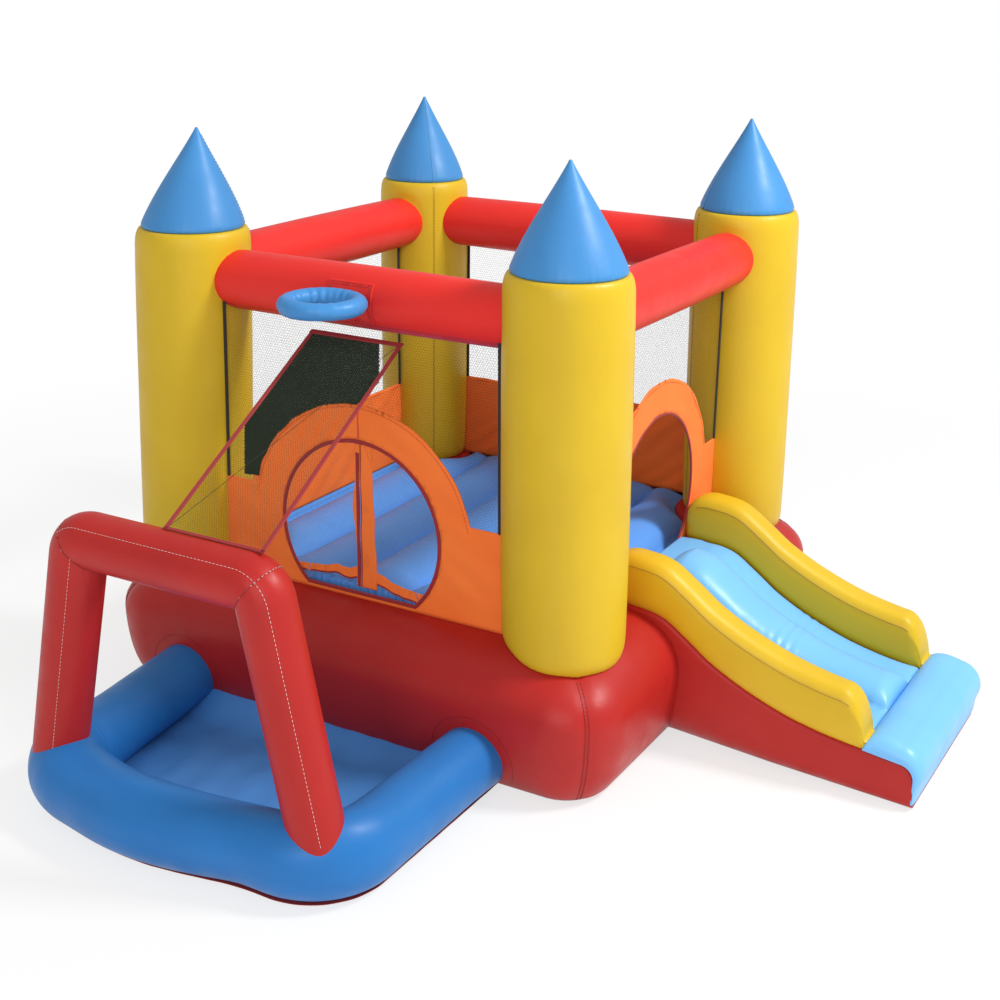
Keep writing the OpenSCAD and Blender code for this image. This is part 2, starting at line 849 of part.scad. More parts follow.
module inlet_strap() {
    outer = inlet_d + 4 * skin + 2 * seam;
    color("black") translate([inlet_x, base_half + inlet_len - 2 * strap_w, rear_fittings_z])
        rotate([-90, 0, 0]) tube(outer, skin, strap_w);
}

module zip_tape() {
    color(zip_grey) translate([zip_x - zip_len / 2, base_half + seam, rear_fittings_z - zip_w / 2])
        cube([zip_len, skin, zip_w]);
}

// The slider rests at the left end of its tape
module zip_slider() {
    h = zip_w / 2;
    color(metal_grey) translate([zip_x - zip_len / 2, base_half + skin + 2 * seam, rear_fittings_z]) {
        translate([0, 0, -h / 2]) cube([slider_len, 2 * skin, h]);
        translate([slider_len, 0, -h / 4]) cube([slider_len, skin, h / 2]);
    }
}

// Places of the anchor tabs, with +X of the children pointing away from the base
module at_anchors() {
    for (turn = [90, 180], side = [-1, 1])
        rotate(turn) translate([base_half, side * tab_place, 0]) children();
}

module anchor_tabs() {
    inner = base_half - foot_y;
    color("black") at_anchors() linear_extrude(sheet_t) difference() {
        translate([-inner, -tab_w / 2]) square([inner + tab_reach, tab_w]);
        translate([tab_reach - tab_w / 2, 0]) circle(eyelet_d / 2 + eyelet_rim + seam);
    }
}

module anchor_eyelets() {
    color(metal_grey) at_anchors() translate([tab_reach - tab_w / 2, 0, 0])
        tube(eyelet_d + 2 * eyelet_rim, eyelet_rim, 2 * sheet_t);
}

base_skin();
floor_mattress();
floor_baffles();
tower(-1, -1);  // tower_front_left
tower(1, -1);  // tower_front_right
tower(-1, 1);  // tower_back_left
tower(1, 1);  // tower_back_right
cone(-1, -1);  // cone_front_left
cone(1, -1);  // cone_front_right
cone(-1, 1);  // cone_back_left
cone(1, 1);  // cone_back_right
beam(0);  // beam_front
beam(90);  // beam_right
beam(180);  // beam_back
beam(270);  // beam_left
arched_panel(0);  // panel_front
arched_panel(90);  // panel_right
plain_panel(180);  // panel_back
plain_panel(270);  // panel_left
wall_net(0, true);  // net_front
wall_net(90, true);  // net_right
wall_net(180, false);  // net_back
wall_net(270, false);  // net_left
net_bindings();
entrance_binding();
curtain_border();  // curtain_border_left
mirror([1, 0, 0]) curtain_border();  // curtain_border_right
curtain_flap();  // curtain_left
mirror([1, 0, 0]) curtain_flap();  // curtain_right
curtain_trim();  // curtain_trim_left
mirror([1, 0, 0]) curtain_trim();  // curtain_trim_right
hoop_ring();
hoop_patch();
ramp_net();
ramp_webbing();
slide_body();
slide_lane();
slide_rail(-1);  // slide_rail_near
slide_rail(1);  // slide_rail_far
slide_bolster();
slide_baffles();
pit_arm(-1);  // pit_arm_left
pit_arm(1);  // pit_arm_right
pit_front();
pit_floor();
pit_hem();
mirror([1, 0, 0]) goal_leg();  // goal_leg_left
goal_leg();  // goal_leg_right
goal_crossbar();
air_inlet();
inlet_strap();
zip_tape();
zip_slider();
anchor_tabs();
anchor_eyelets();
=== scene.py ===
# %% [markdown]
# # An inflatable bounce house
# A home bouncy castle is sewn from coated cloth, and a blower keeps it taut. So nearly every piece here is a
# smooth closed skin, and what makes it look sewn is small: gathers beside seams, rows of stitches, tapes and
# nets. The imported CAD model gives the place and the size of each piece, and this script dresses it.

# %% Load the frame
import math
from contextlib import contextmanager

import bmesh
import bpy
import numpy as np
from mathutils import Matrix, Vector
from mathutils.geometry import delaunay_2d_cdt


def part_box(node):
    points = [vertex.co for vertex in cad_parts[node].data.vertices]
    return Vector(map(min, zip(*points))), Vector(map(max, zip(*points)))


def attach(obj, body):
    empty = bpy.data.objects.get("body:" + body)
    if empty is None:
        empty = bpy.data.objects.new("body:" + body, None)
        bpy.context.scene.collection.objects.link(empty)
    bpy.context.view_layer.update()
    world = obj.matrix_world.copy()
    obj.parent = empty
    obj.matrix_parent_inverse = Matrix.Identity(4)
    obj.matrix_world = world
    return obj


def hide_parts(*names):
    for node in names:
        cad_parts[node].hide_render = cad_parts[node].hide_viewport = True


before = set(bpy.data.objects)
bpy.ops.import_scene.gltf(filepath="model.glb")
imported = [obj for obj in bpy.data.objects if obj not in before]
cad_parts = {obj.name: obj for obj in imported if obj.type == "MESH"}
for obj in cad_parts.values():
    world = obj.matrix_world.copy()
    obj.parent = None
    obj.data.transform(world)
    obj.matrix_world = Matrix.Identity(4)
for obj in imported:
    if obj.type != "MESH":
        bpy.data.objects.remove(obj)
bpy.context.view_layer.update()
scene = bpy.context.scene
scene.view_settings.view_transform = "Standard"

# %% [markdown]
# ## Camera
# The photograph was taken from the front right and from above the cones' tips. The camera's place, turn and lens
# were worked out from the towers, the cone tips and the ground lines, so it needs no shift.

# %% Camera
azimuth, elevation, roll = (math.radians(a) for a in (29.7405, 19.7202, 0.7938))
eye = Vector((3.0142, -5.1178, 2.7603))
back = Vector((
    math.sin(azimuth) * math.cos(elevation),
    -math.cos(azimuth) * math.cos(elevation),
    math.sin(elevation),
))
level_right = (-back).cross(Vector((0, 0, 1))).normalized()
level_up = level_right.cross(-back)
cam_right = level_right * math.cos(roll) + level_up * math.sin(roll)
cam_up = level_up * math.cos(roll) - level_right * math.sin(roll)
camera_data = bpy.data.cameras.new("photo_camera")
camera_data.sensor_width = 36
camera_data.lens = 55.101
camera_data.clip_end = 200
camera = bpy.data.objects.new("photo_camera", camera_data)
turn = Matrix((cam_right, cam_up, back)).transposed()
camera.matrix_world = Matrix.Translation(eye) @ turn.to_4x4()
scene.collection.objects.link(camera)
scene.camera = camera
print("camera looks along", [round(v, 3) for v in -back])

# %% [markdown]
# ## Node helper and colours
# One function adds any node, sets its values and links its sockets. Colours are written as they look on a
# screen, in hex, and one function turns them into the linear values that Blender mixes light with.


# %% Node helper and colours
def add(tree, kind, inputs=None, **settings):
    node = tree.nodes.new(kind)
    for name, value in settings.items():
        setattr(node, name, value)
    for key, value in (inputs or {}).items():
        if isinstance(value, bpy.types.NodeSocket):
            tree.links.new(value, node.inputs[key])
        else:
            node.inputs[key].default_value = value
    return node


def linear(colour):
    parts = [int(colour[i:i + 2], 16) / 255 for i in (1, 3, 5)]
    return (*[p / 12.92 if p <= 0.04045 else ((p + 0.055) / 1.055) ** 2.4 for p in parts], 1.0)


def new_material(name, inputs):
    """A new material, its tree and its shader, with these inputs set."""
    material = bpy.data.materials.new(name)
    material.use_nodes = True
    shader = material.node_tree.nodes["Principled BSDF"]
    for key, value in inputs.items():
        shader.inputs[key].default_value = value
    return material, material.node_tree, shader


print("white in linear light:", linear("#FFFFFF"))

# %% [markdown]
# ## Floor and light
# The object stands on a plain white floor. For the camera most of the floor's white comes from the floor
# itself, so it stays white, while a share of it still takes light and so keeps the shadow. A lamp high on the right
# gives the lit right sides that the photograph shows. A weaker one in front and the white surroundings fill the rest.

# %% Floor and light
FLOOR_HALF, FLOOR_DROP = 60, 0.002
floor_mesh = bpy.data.meshes.new("floor")
floor_mesh.from_pydata(
    [(-FLOOR_HALF, -FLOOR_HALF, 0), (FLOOR_HALF, -FLOOR_HALF, 0),
     (FLOOR_HALF, FLOOR_HALF, 0), (-FLOOR_HALF, FLOOR_HALF, 0)], [], [(0, 1, 2, 3)])
floor = bpy.data.objects.new("floor", floor_mesh)
floor.location.z = -FLOOR_DROP
scene.collection.objects.link(floor)

paper, tree, shader = new_material("white_paper_floor", {"Base Color": linear("#F4F4F4"), "Roughness": 0.8})
ray = add(tree, "ShaderNodeLightPath")
seen = add(tree, "ShaderNodeMath", {0: ray.outputs["Is Camera Ray"], 1: ray.outputs["Is Glossy Ray"]},
           operation="MAXIMUM")
seen = add(tree, "ShaderNodeMath", {0: seen.outputs[0], 1: ray.outputs["Is Transmission Ray"]},
           operation="MAXIMUM")
spot = add(tree, "ShaderNodeTexCoord")
reach = add(tree, "ShaderNodeVectorMath", {0: spot.outputs["Object"]}, operation="LENGTH")
glow_share = add(tree, "ShaderNodeMapRange", {
    "Value": reach.outputs["Value"], "From Min": 1.5, "From Max": 5.0, "To Min": 0.7, "To Max": 1.0})
glow_share = add(tree, "ShaderNodeMath", {0: glow_share.outputs[0], 1: seen.outputs[0]}, operation="MULTIPLY")
glow = add(tree, "ShaderNodeEmission", {"Color": (1, 1, 1, 1), "Strength": 1.0})
mixed = add(tree, "ShaderNodeMixShader", {0: glow_share.outputs[0], 1: shader.outputs[0], 2: glow.outputs[0]})
tree.links.new(mixed.outputs[0], tree.nodes["Material Output"].inputs["Surface"])
floor_mesh.materials.append(paper)

world = bpy.data.worlds.new("white_studio")
world.use_nodes = True
scene.world = world
tree = world.node_tree
ray = add(tree, "ShaderNodeLightPath")
seen = add(tree, "ShaderNodeMath", {0: ray.outputs["Is Camera Ray"], 1: ray.outputs["Is Transmission Ray"]},
           operation="MAXIMUM")
level = add(tree, "ShaderNodeMapRange", {"Value": seen.outputs[0], "To Min": 0.56, "To Max": 1.0})
tree.links.new(level.outputs[0], tree.nodes["Background"].inputs["Strength"])
tree.nodes["Background"].inputs["Color"].default_value = (1, 1, 1, 1)


def lamp(name, place, aim, size, watts):
    data = bpy.data.lights.new(name, "AREA")
    data.energy, data.size = watts, size
    obj = bpy.data.objects.new(name, data)
    obj.location = place
    obj.rotation_euler = (Vector(aim) - Vector(place)).to_track_quat("-Z", "Y").to_euler()
    scene.collection.objects.link(obj)


lamp("key_lamp", (5.2, 0.9, 6.6), (0, -0.3, 0.8), 1.4, 480)
lamp("front_lamp", (3.2, -8.0, 4.2), (0, -0.5, 0.8), 4.0, 200)
print("floor, white surroundings and two lamps are set")

# %% [markdown]
# ## Coated cloth
# The air chambers are nylon Oxford cloth with a thin PVC coat on the face: a satin surface, even in colour, with
# a weak print of the weave and faint soft creases from packing. The weave is half a millimetre in reality, too
# fine to show, so it is drawn at 4 mm. The dye changes slowly over some 0.3 m, and the gloss over some 80 mm.

# %% Coated cloth
WEAVE = 0.004


def bands(size):
    """Scale of Blender's wave texture for stripes of this size: at scale 1 it turns 20 radians a metre."""
    return 2 * math.pi / (20 * size)


def coated_cloth(name, colour, deep, rough=0.44):
    material, tree, shader = new_material(name, {
        "IOR": 1.5, "Specular IOR Level": 0.3, "Coat Weight": 0.03, "Coat Roughness": 0.3})
    spot = add(tree, "ShaderNodeTexCoord")
    dye = add(tree, "ShaderNodeTexNoise", {"Vector": spot.outputs["Object"], "Scale": 1 / 0.3, "Detail": 3.0})
    tone = add(tree, "ShaderNodeMix", {0: dye.outputs[0], 6: linear(deep), 7: linear(colour)}, data_type="RGBA")
    tree.links.new(tone.outputs[2], shader.inputs["Base Color"])
    wear = add(tree, "ShaderNodeTexNoise", {"Vector": spot.outputs["Object"], "Scale": 1 / 0.08, "Detail": 5.0})
    gloss = add(tree, "ShaderNodeMapRange", {
        "Value": wear.outputs[0], "From Min": 0.3, "From Max": 0.7, "To Min": rough - 0.06, "To Max": rough + 0.08})
    tree.links.new(gloss.outputs[0], shader.inputs["Roughness"])
    crease = add(tree, "ShaderNodeTexNoise", {
        "Vector": spot.outputs["Object"], "Scale": 1 / 0.055, "Detail": 2.0, "Distortion": 0.6})
    soft = add(tree, "ShaderNodeBump", {"Height": crease.outputs[0], "Strength": 0.35, "Distance": 0.0022})
    warp, weft = (
        add(tree, "ShaderNodeTexWave", {"Vector": spot.outputs["UV"], "Scale": bands(WEAVE)}, bands_direction=way)
        for way in "XY")
    weave = add(tree, "ShaderNodeMath", {0: warp.outputs["Fac"], 1: weft.outputs["Fac"]}, operation="ADD")
    fine = add(tree, "ShaderNodeBump", {
        "Height": weave.outputs[0], "Strength": 0.12, "Distance": 0.0003, "Normal": soft.outputs[0]})
    tree.links.new(fine.outputs[0], shader.inputs["Normal"])
    return material


red_cloth = coated_cloth("coated_oxford_cloth_red", "#BA2620", "#A41C1A")
# The beams' red is the base's red painted lighter, as painted light on their lit tops.
beam_cloth = coated_cloth("coated_oxford_cloth_bright_red", "#EA3026", "#DE2520")
yellow_cloth = coated_cloth("coated_oxford_cloth_yellow", "#DAB824", "#CCA61C")
cone_cloth = coated_cloth("coated_oxford_cloth_sky_blue", "#4690CC", "#3C80BE")
floor_cloth = coated_cloth("coated_oxford_cloth_blue", "#66A6F4", "#5696EA")
pit_cloth = coated_cloth("coated_oxford_cloth_deep_blue", "#2478C0", "#1E68AE")
# The pit floor's blue is painted lighter, as painted light that makes up for the shade in the pit.
pit_floor_cloth = coated_cloth("coated_oxford_cloth_mid_blue", "#4C8CD2", "#4280C6")
lane_cloth = coated_cloth("coated_oxford_cloth_light_blue", "#7EC2F6", "#6CB4F0", rough=0.36)
hoop_cloth = coated_cloth("coated_oxford_cloth_pale_blue", "#4690D0", "#3C82C0")
print("nine dyes of coated cloth")

# %% [markdown]
# ## Woven cloth, tape, yarn and thread
# The wall panels are uncoated woven polyester, so they are matt and their threads show; they are drawn at 5 mm.
# Bindings are ribbed tape, with ribs of 3 mm across them. Nets are knitted from dull polyester yarn, and stitches
# are twisted thread with a slight shine.


# %% Woven cloth and tape
def woven_cloth(name, colour, deep, thread=0.005):
    material, tree, shader = new_material(name, {
        "Roughness": 0.72, "Specular IOR Level": 0.2, "Sheen Weight": 0.04})
    spot = add(tree, "ShaderNodeTexCoord")
    warp, weft = (
        add(tree, "ShaderNodeTexWave", {"Vector": spot.outputs["UV"], "Scale": bands(thread), "Distortion": 0.4},
            bands_direction=way) for way in "XY")
    weave = add(tree, "ShaderNodeMath", {0: warp.outputs["Fac"], 1: weft.outputs["Fac"]}, operation="MULTIPLY")
    patch = add(tree, "ShaderNodeTexNoise", {"Vector": spot.outputs["Object"], "Scale": 1 / 0.2, "Detail": 3.0})
    share = add(tree, "ShaderNodeMath", {0: weave.outputs[0], 1: patch.outputs[0]}, operation="ADD")
    share = add(tree, "ShaderNodeMapRange", {"Value": share.outputs[0], "From Min": 0.3, "From Max": 1.3})
    tone = add(tree, "ShaderNodeMix", {0: share.outputs[0], 6: linear(deep), 7: linear(colour)}, data_type="RGBA")
    tree.links.new(tone.outputs[2], shader.inputs["Base Color"])
    bump = add(tree, "ShaderNodeBump", {"Height": weave.outputs[0], "Strength": 0.3, "Distance": 0.0006})
    tree.links.new(bump.outputs[0], shader.inputs["Normal"])
    return material


def ribbed_tape(name, colour, deep, rib=0.003):
    material, tree, shader = new_material(name, {"Roughness": 0.66, "Sheen Weight": 0.1})
    spot = add(tree, "ShaderNodeTexCoord")
    ribs = add(tree, "ShaderNodeTexWave", {"Vector": spot.outputs["UV"], "Scale": bands(rib), "Distortion": 0.3},
               bands_direction="Y")
    tone = add(tree, "ShaderNodeMix", {0: ribs.outputs["Fac"], 6: linear(deep), 7: linear(colour)}, data_type="RGBA")
    tree.links.new(tone.outputs[2], shader.inputs["Base Color"])
    bump = add(tree, "ShaderNodeBump", {"Height": ribs.outputs["Fac"], "Strength": 0.4, "Distance": 0.0005})
    tree.links.new(bump.outputs[0], shader.inputs["Normal"])
    return material


orange_cloth = woven_cloth("woven_polyester_orange", "#FF863C", "#FA742E")
web_cloth = woven_cloth("woven_polyester_white", "#EDEBE6", "#D9D6CF")
red_tape = ribbed_tape("woven_tape_dark_red", "#A52226", "#86161A")
orange_tape = ribbed_tape("woven_tape_orange", "#E2522A", "#C84420")
black_tape = ribbed_tape("woven_tape_black", "#231D1A", "#14100E")
print("woven cloth and tape")


# %% Yarn and thread
def spun_yarn(name, colour, deep, rough, speck=0.006):
    material, tree, shader = new_material(name, {"Roughness": rough})
    spot = add(tree, "ShaderNodeTexCoord")
    fibre = add(tree, "ShaderNodeTexNoise", {"Vector": spot.outputs["Object"], "Scale": 1 / speck, "Detail": 2.0})
    tone = add(tree, "ShaderNodeMix", {0: fibre.outputs[0], 6: linear(deep), 7: linear(colour)}, data_type="RGBA")
    tree.links.new(tone.outputs[2], shader.inputs["Base Color"])
    bump = add(tree, "ShaderNodeBump", {"Height": fibre.outputs[0], "Strength": 0.3, "Distance": 0.0004})
    tree.links.new(bump.outputs[0], shader.inputs["Normal"])
    return material


net_yarn = spun_yarn("knitted_polyester_black", "#3A3735", "#282523", 0.75)
# Dark green yarn of the sloping net; it also knits the painted shade net on the front net.
ramp_and_painted_shade_yarn = spun_yarn("knitted_polyester_dark_green", "#26361F", "#182210", 0.75)
sheer_yarn = spun_yarn("knitted_polyester_grey", "#3A3634", "#24211F", 0.75)
white_thread = spun_yarn("twisted_thread_white", "#F1ECE4", "#D8D2C8", 0.5)
red_thread = spun_yarn("twisted_thread_dark_red", "#8C1C1E", "#6C1114", 0.5)
gold_thread = spun_yarn("twisted_thread_ochre", "#B4912A", "#92741E", 0.5)
blue_thread = spun_yarn("twisted_thread_blue", "#3B79B6", "#2C6199", 0.5)
orange_thread = spun_yarn("twisted_thread_orange", "#D9622E", "#BF4E20", 0.5)
print("three yarns and five threads")

# %% [markdown]
# ## Zip and eyelets
# The zip's teeth are moulded grey acetal: smooth, with a soft shine. Slider and eyelets are zinc-plated steel,
# a bright metal whose gloss changes in small spangles of about 4 mm.


# %% Zip and eyelets
def zinc_plate(name):
    material, tree, shader = new_material(name, {"Metallic": 1.0})
    spot = add(tree, "ShaderNodeTexCoord")
    spangle = add(tree, "ShaderNodeTexVoronoi", {"Vector": spot.outputs["Object"], "Scale": 1 / 0.004})
    tone = add(tree, "ShaderNodeMix", {0: spangle.outputs["Distance"], 6: linear("#C9CCD0"), 7: linear("#AEB2B8")},
               data_type="RGBA")
    tree.links.new(tone.outputs[2], shader.inputs["Base Color"])
    gloss = add(tree, "ShaderNodeMapRange", {
        "Value": spangle.outputs["Distance"], "To Min": 0.24, "To Max": 0.4})
    tree.links.new(gloss.outputs[0], shader.inputs["Roughness"])
    return material


zinc = zinc_plate("zinc_plated_steel")
acetal = spun_yarn("moulded_acetal_grey", "#5A5D62", "#4B4E53", 0.35, speck=0.002)
print("zinc plate and acetal")

# %% [markdown]
# ## Skins and pieces
# A skin is a grid of points: rows run along the piece and columns go round it. The map of the cloth, in metres,
# goes with it, so the weave keeps its size. Rows that end in one point close the poles. Every finished mesh then
# becomes a piece that rides on a body of the frame and says which CAD solids it stands for.


# %% Skins and pieces
@contextmanager
def reshaped(mesh):
    """Opens a mesh for editing and puts the result back."""
    work = bmesh.new()
    work.from_mesh(mesh)
    yield work
    work.to_mesh(mesh)
    work.free()


def sewn(mesh, sharp=None):
    """Merges points that meet, turns the faces outward and smooths them, but for edges above an angle."""
    with reshaped(mesh) as work:
        bmesh.ops.remove_doubles(work, verts=work.verts, dist=1e-5)
        bmesh.ops.dissolve_degenerate(work, edges=work.edges, dist=1e-6)
        bmesh.ops.recalc_face_normals(work, faces=work.faces)
    mesh.shade_smooth()
    if sharp:
        mesh.set_sharp_from_angle(angle=math.radians(sharp))
    return mesh


def skin(name, rows, wrap=True, sharp=None):
    rows = np.asarray(rows, float)
    count, columns = rows.shape[:2]
    i, j = np.meshgrid(np.arange(count - 1), np.arange(columns if wrap else columns - 1), indexing="ij")
    k = (j + 1) % columns
    faces = np.stack([i * columns + j, i * columns + k, (i + 1) * columns + k, (i + 1) * columns + j], -1)
    loop = np.concatenate([rows, rows[:, :1]], 1) if wrap else rows
    across = np.append(0, np.linalg.norm(np.diff(loop, axis=1), axis=2).max(0).cumsum())
    along = np.append(0, np.linalg.norm(np.diff(rows, axis=0), axis=2).mean(1).cumsum())
    cloth = np.stack([
        np.stack([across[j], across[j + 1], across[j + 1], across[j]], -1),
        np.stack([along[i], along[i], along[i + 1], along[i + 1]], -1)], -1)
    mesh = bpy.data.meshes.new(name)
    mesh.from_pydata(rows.reshape(-1, 3).tolist(), [], faces.reshape(-1, 4).tolist())
    mesh.uv_layers.new(name="cloth").data.foreach_set("uv", cloth.astype(np.float32).reshape(-1))
    return sewn(mesh, sharp)


def closed(rows, first=None, last=None):
    """Adds a pole before the first row and one after the last, so that the skin is shut."""
    rows = np.asarray(rows, float)
    columns = rows.shape[1]
    start = np.tile(rows[0].mean(0) if first is None else first, (1, columns, 1))
    end = np.tile(rows[-1].mean(0) if last is None else last, (1, columns, 1))
    return np.concatenate([start, rows, end], 0)


print("skin helpers are ready")


# %% Pieces
def piece(name, mesh, material, body="castle", stands_for=()):
    obj = bpy.data.objects.new(name, mesh)
    scene.collection.objects.link(obj)
    mesh.materials.clear()
    mesh.materials.append(material)
    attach(obj, body)
    if stands_for:
        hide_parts(*stands_for)
    return obj


def chamber(name, rows, material, stands_for, body="castle"):
    """A piece full of air: a shut skin."""
    obj = piece(name, skin(name, rows), material, body, stands_for)
    return obj.data


print("piece helpers are ready")


# %% Points, folds and ripples
def xyz(x, y, z):
    """Points from their coordinates; a single number goes with every point."""
    return np.stack(np.broadcast_arrays(x, y, z), -1)


def circle_of(count):
    return np.linspace(0, 2 * np.pi, count, endpoint=False)


def round_in(gap, reach, depth):
    """How far a rounded edge draws in at a gap from the edge: depth at the edge, nothing beyond reach."""
    share = 1 - np.clip(gap / reach, 0, 1)
    return depth * (1 - np.sqrt(1 - share ** 2))


def gathers(place, pitch, seed):
    """Small folds along a seam, 0 to 1: two sines of unequal pitch, so no fold looks like the next."""
    first, second = np.random.default_rng(seed).uniform(0, 2 * np.pi, 2)
    wave = np.sin(2 * np.pi * place / pitch + first) + 0.7 * np.sin(2 * np.pi * place / (1.37 * pitch) + second)
    return 0.5 + wave / 3.4


def ripple(points, size, seed, waves=6):
    """Slow random height, about -1 to 1, from a few sines in random directions."""
    rng = np.random.default_rng(seed)
    way = rng.normal(size=(waves, points.shape[-1]))
    way *= (rng.uniform(0.7, 1.4, waves) / np.linalg.norm(way, axis=1))[:, None]
    phase = rng.uniform(0, 2 * np.pi, waves)
    return np.sin(points @ way.T * 2 * np.pi / size + phase).sum(-1) / waves ** 0.5


print("six folds of a seam:", gathers(np.arange(6) * 0.01, 0.03, 0).round(2).tolist())

# %% [markdown]
# ## Base
# The base is a big square cushion. Its section is two quarter ellipses, a small one at the foot and a larger one
# at the shoulder, so it looks filled with air. Rings of that section go round a square with rounded corners, the
# top runs in to the edge of the well, and the last rings go down the well and shut it under the floor.

# %% Sizes of the base and towers
base_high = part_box("base_skin")[1]
tower_low, tower_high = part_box("tower_front_right")
mattress_low, mattress_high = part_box("floor_mattress")
BASE_HALF, BASE_TOP = base_high.x, base_high.z
BASE_CORNER, BASE_FOOT, BASE_ROLL, BASE_WAIST = 0.232, 0.112, 0.23, 0.3
TOWER_R = (tower_high.x - tower_low.x) / 2
TOWER_HALF = (tower_high.x + tower_low.x) / 2
TOWER_TOP = tower_high.z
WELL_X, WELL_Y, WELL_Z = mattress_high.x, mattress_high.y, mattress_low.z
NOTCH_R = TOWER_R + 0.0083
DIP, DIP_FROM, DIP_SPAN = 0.044, 0.7, 0.25
CORNER_PULL, PULL_SPAN = 0.004, 0.018
SEAM = 0.0003
print("base", round(BASE_HALF, 3), "tower", round(TOWER_R, 3), "at", round(TOWER_HALF, 3))


# %% Shape of the base
def square_reach(angle, half, corner):
    """Distance from the middle to a rounded square, in each direction."""
    c, s = np.abs(np.cos(angle)), np.abs(np.sin(angle))
    straight = half / np.maximum(c, s)
    inner = half - corner
    along = inner * (c + s)
    bent = along + np.sqrt(np.maximum(corner ** 2 - (2 * inner ** 2 - along ** 2), 0))
    return np.where(straight * np.minimum(c, s) > inner, bent, straight)


def corner_dip(x, y):
    """How much lower the cushion's shoulder hangs towards its corners."""
    return DIP * np.clip((np.minimum(np.abs(x), np.abs(y)) - DIP_FROM) / DIP_SPAN, 0, 1)


def base_ring(angle, inset, height):
    reach = square_reach(angle, BASE_HALF - inset, max(BASE_CORNER - inset, 0.003))
    x, y = reach * np.cos(angle), reach * np.sin(angle)
    share = min(max((height - BASE_WAIST) / (BASE_TOP - BASE_WAIST), 0), 1)
    return xyz(x, y, height - share * corner_dip(x, y))


def side_inset(z):
    """How far the base's side draws in at a height."""
    low = round_in(z, BASE_WAIST, BASE_FOOT)
    high = round_in(BASE_TOP - z, BASE_TOP - BASE_WAIST, BASE_ROLL)
    return np.where(z < BASE_WAIST, low, high)


def base_height(x, y):
    """Height of the base's upper skin at a point of its plan."""
    x, y = np.abs(x), np.abs(y)
    inner = BASE_HALF - BASE_CORNER
    corner = BASE_CORNER - np.hypot(np.maximum(x - inner, 0), np.maximum(y - inner, 0))
    inset = np.clip(corner, 0, BASE_ROLL)
    rise = np.sqrt(1 - (1 - inset / BASE_ROLL) ** 2)
    return BASE_WAIST + (BASE_TOP - BASE_WAIST - corner_dip(x, y)) * rise


def well_reach(angle):
    """Distance to the edge of the well: a rectangle without the corners on which the towers stand."""
    c, s = np.abs(np.cos(angle)), np.abs(np.sin(angle))
    straight = np.minimum(WELL_X / np.maximum(c, 1e-6), WELL_Y / np.maximum(s, 1e-6))
    along = TOWER_HALF * (c + s)
    inside = NOTCH_R ** 2 - (2 * TOWER_HALF ** 2 - along ** 2)
    return np.minimum(straight, np.where(inside > 0, along - np.sqrt(np.maximum(inside, 0)), 9))


print("the well reaches", round(float(well_reach(np.array([0.0]))[0]), 3), "m to the side")

# %% Base skin
angle = circle_of(720)
low_turn = np.linspace(0, np.pi / 2, 12)
rows = [base_ring(angle, BASE_FOOT * (1 - math.sin(t)), BASE_WAIST * (1 - math.cos(t))) for t in low_turn]
rows += [
    base_ring(angle, BASE_ROLL * (1 - math.cos(t)), BASE_WAIST + (BASE_TOP - BASE_WAIST) * math.sin(t))
    for t in low_turn[1:]]
lip = well_reach(angle) + 0.001
for grow, z in ((0.06, BASE_TOP), (0.02, BASE_TOP - 0.001), (0.0, BASE_TOP - 0.006), (0.0, WELL_Z - 0.002)):
    reach = np.minimum(lip + grow, square_reach(angle, BASE_HALF - BASE_ROLL - 0.002, 0.05))
    rows.append(xyz(reach * np.cos(angle), reach * np.sin(angle), z))
rows = closed(rows)
around = np.arctan2(rows[..., 1], rows[..., 0])
corner_gap = np.pi / 4 - np.abs((around + np.pi / 4) % (np.pi / 2) - np.pi / 4)
near_corner = np.exp(-(corner_gap / PULL_SPAN) ** 2)
pull = CORNER_PULL * near_corner * (rows[..., 2] > 0.01) * (rows[..., 2] < BASE_TOP - 0.02)
rows[..., :2] *= 1 - pull[..., None]
mesh = chamber("base_cloth", rows, red_cloth, ["base_skin"])
print("base skin:", len(mesh.polygons), "faces")

# %% [markdown]
# ## Bounce floor
# The floor lies in the well and is sewn down along parallel lines, which leaves long air channels. It is a height
# field: each channel is a crown between two creases, the ends are rounded, and the creases gather the cloth. It
# reaches a little past the well's left edge, so its rim goes down, back in to the well and down again.

# %% Bounce floor
CHANNEL, CREASE, FLOOR_PUFF, PUFF_SPAN = 0.285, 0.085, 0.06, 0.06
END_SPAN, END_CREASE, CREASE_FOLD, EDGE_FOLD = 0.2, 0.3, 0.004, 0.006
FLOOR_CROWN = mattress_high.z
FLOOR_LEFT, LIP_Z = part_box("panel_left")[1].x + 0.004, BASE_TOP + 0.0008
xs = np.linspace(FLOOR_LEFT, WELL_X, 257)
ys = np.linspace(-WELL_Y, WELL_Y, 271)
gx, gy = np.meshgrid(xs, ys, indexing="ij")
in_well = gx > -WELL_X
share = np.abs((gx / CHANNEL + 0.5) % 1 - 0.5) * 2
ends = np.clip((WELL_Y - np.abs(gy)) / END_SPAN, END_CREASE, 1)
height = FLOOR_CROWN - CREASE * ends * (1 - np.sqrt(1 - (0.97 * share) ** 2))
crease_gap = (1 - share) * CHANNEL / 2
height -= CREASE_FOLD * np.exp(-crease_gap / 0.02) * gathers(gy + 0.03 * np.floor(gx / CHANNEL + 0.5), 0.042, 3)
height += 0.0015 * ripple(np.stack([gx, gy], -1), 0.3, 4)
notch = np.hypot(np.abs(gx) - TOWER_HALF, np.abs(gy) - TOWER_HALF) - NOTCH_R
end_gap = np.minimum(WELL_Y - np.abs(gy), np.clip(notch, 0, None))
edge_gap = np.minimum(end_gap, np.minimum(gx - FLOOR_LEFT, WELL_X - gx))
height += FLOOR_PUFF * (1 - np.exp(-(edge_gap / PUFF_SPAN) ** 2)) - round_in(edge_gap, 0.05, 0.012)
